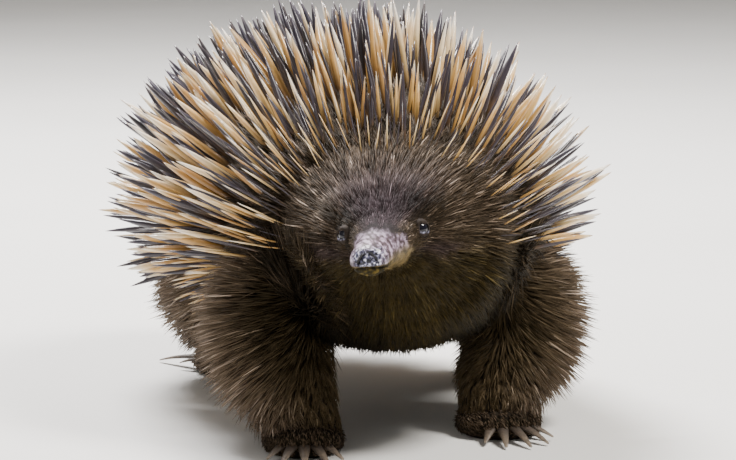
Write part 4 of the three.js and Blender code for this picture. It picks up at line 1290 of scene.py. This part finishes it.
def lid_material():
    """Lids: dark skin, mottled pale blue-grey along the lower rim."""
    look = Finish("lid_skin", 0.75, Specular_IOR_Level=0.1)
    base = look.ramp(look.noise(700, 3), [(0.3, (0.012, 0.009, 0.007)), (0.7, (0.040, 0.029, 0.023))])
    rim = look.ramp(look.noise(800, 3), [(0.42, (0.03, 0.027, 0.035)), (0.6, (0.24, 0.24, 0.32))])
    look.feed(look.mix(look.mark("lower"), base, rim), "Base Color")
    look.bump(look.noise(1300, 3), 0.4, 0.0003)
    return look.made


def eye_material():
    """A wet black eye with a trace of deep brown."""
    look = Finish("eye", 0.08, Specular_IOR_Level=0.25, Coat_Weight=0.3, Coat_Roughness=0.03)
    colour = look.ramp(look.noise(300, 2), [(0.3, (0.002, 0.002, 0.006)), (0.7, (0.007, 0.006, 0.012))])
    look.feed(colour, "Base Color")
    return look.made


def claw_material():
    """Dull horn, dark at the root and paler at the worn tip."""
    look = Finish("claw_horn", 0.5)
    base = look.ramp(look.mark("along"), [
        (0.0, (0.02, 0.015, 0.012)), (0.5, (0.06, 0.046, 0.036)), (1.0, (0.20, 0.16, 0.12)),
    ])
    wear = look.ramp(look.noise(500, 4), [(0.3, (0.55, 0.55, 0.55)), (0.7, (1.2, 1.15, 1.1))])
    look.feed(look.mix(1.0, base, wear, "MULTIPLY"), "Base Color")
    look.bump(look.noise(900, 4), 0.35, 0.0004)
    return look.made


def dress(thing, made):
    """Gives a piece its one material."""
    thing.data.materials.clear()
    thing.data.materials.append(made)


def skin_marks():
    """Where the skin is bare, brown at the lower edge of the bare part, dark round the nostrils with painted
    glints, under the tip where painted shade darkens it, painted shade in the grooves and darker towards the
    hair, and the coat's marks."""
    p = points_of(skin) / MM + CENTRE
    rows = curve_through(BODY, np.arange(9.0))
    tip, side, up, along = body_section(np.array([0.6]))
    local = p - tip[0, :3]
    x, y, back = local @ side[0], local @ up[0], local @ along[0]
    u = np.interp(back, (rows[:, :3] - tip[0, :3]) @ along[0], np.arange(9.0))
    middle = curve_through(BODY[:, :3], u)
    _, side_here, up_here, _ = body_section(u)
    off = p - middle
    angle = np.arctan2(np.sum(off * up_here, -1), np.sum(off * side_here, -1))
    near = back < 75
    put_attribute(skin, "bare", (1 - fur_line(u - 0.25, angle)) * near)
    put_attribute(skin, "flank", smooth_step(-np.sin(angle), -0.25, 0.35) * smooth_step(back, 2, 10))
    pad = np.exp(-((x / 6.6) ** 4 + ((y - 1.4) / 4.0) ** 4))
    put_attribute(skin, "nose", np.clip(pad * 1.5, 0, 1) * (back < 7))
    # Under the tip, where painted shade darkens the olive-brown skin.
    put_attribute(skin, "under", smooth_step(-y, 1.2, 2.2) * fade_out(back, 5, 30))
    put_attribute(skin, "pored", smooth_step(x, 1, 5) * fade_out(back, 5, 16) * 0.9)
    # Darker from the tip back towards the hair, and painted shade in the nostrils and the mouth, the deeper
    # the darker.
    groove_shade_and_fade = 0.34 * smooth_step(back, 9, 30)
    front = back < 14
    groove_shade_and_fade[front] = np.maximum(groove_shade_and_fade[front], np.clip(snout_grooves(p[front]) / 1.6, 0, 1))
    put_attribute(skin, "groove_shade_and_fade", groove_shade_and_fade)
    u = np.interp(p[:, 1], BODY[:, 1], np.arange(len(BODY)))
    middle = curve_through(BODY[:, :3], u)
    grey, olive = coat_marks(p, u, np.arctan2(p[:, 2] - middle[:, 2], p[:, 0] - middle[:, 0]))
    put_attribute(skin, "grey", grey)
    put_attribute(skin, "olive", olive * np.where(inside_limb(p, 1.2), 0.4, 1.0))


skin_marks()
for things, made in (
    ([skin], skin_material()), (hair, hair_material()), (coat_spines, spine_material()),
    (lids, lid_material()), (eyes.values(), eye_material()), (claws.values(), claw_material()),
):
    for thing in things:
        dress(thing, made)

# Every piece hangs from the root body, and the parts of the model that the pieces take the place of are
# hidden
for thing in [skin, *hair, *coat_spines, *lids, *eyes.values(), *claws.values()]:
    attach(thing, "root")
legs_and_paws = [f"{part}_{name}" for part in ("leg", "paw") for name in LIMBS]
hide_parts("snout", "head", "torso", "tail", *legs_and_paws)
for side, thing in eyes.items():
    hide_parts("eye_" + side)
for node, thing in claws.items():
    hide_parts(node)


# Floor and light
def add_floor():
    """A pale floor that curves up into a backdrop: a flat run, a quarter circle and an upright run."""
    bend = np.linspace(0, np.pi / 2, 24)
    curve, radius = FLOOR["curve"], FLOOR["radius"]
    y = np.concatenate([[FLOOR["start"]], curve + radius * np.sin(bend), [curve + radius]])
    z = np.concatenate([[0.0], radius - radius * np.cos(bend), [FLOOR["height"]]])
    left = np.stack([np.full_like(y, -FLOOR["half"]), y, z], -1)
    points = np.concatenate([left, left * [-1, 1, 1]])
    n = len(y)
    k = np.arange(n - 1)
    faces = np.stack([k, k + n, k + n + 1, k + 1], -1)
    floor = new_mesh("floor", points, faces)
    look = Finish("floor", 0.9)
    tone = look.ramp(look.noise(3, 2), [(0.3, (0.74, 0.73, 0.71)), (0.7, (0.78, 0.77, 0.75))])
    look.feed(tone, "Base Color")
    dress(floor, look.made)


def add_light(name, place, size, power, colour):
    """A square area light that faces the animal."""
    data = bpy.data.lights.new(name, "AREA")
    data.size = size
    data.energy = power
    data.color = colour
    lamp = bpy.data.objects.new(name, data)
    bpy.context.scene.collection.objects.link(lamp)
    place = np.array(place, float)
    way = unit(np.array(LIGHTS_AIM) - place)
    lamp.location = place
    lamp.rotation_euler = (math.acos(-way[2]), 0, math.atan2(-way[0], way[1]))


add_floor()
for name, values in LIGHTS.items():
    add_light(name, *values)
world = bpy.data.worlds.new("studio")
world.use_nodes = True
background = world.node_tree.nodes["Background"]
background.inputs["Color"].default_value = WORLD_COLOUR
background.inputs["Strength"].default_value = WORLD_STRENGTH
bpy.context.scene.world = world
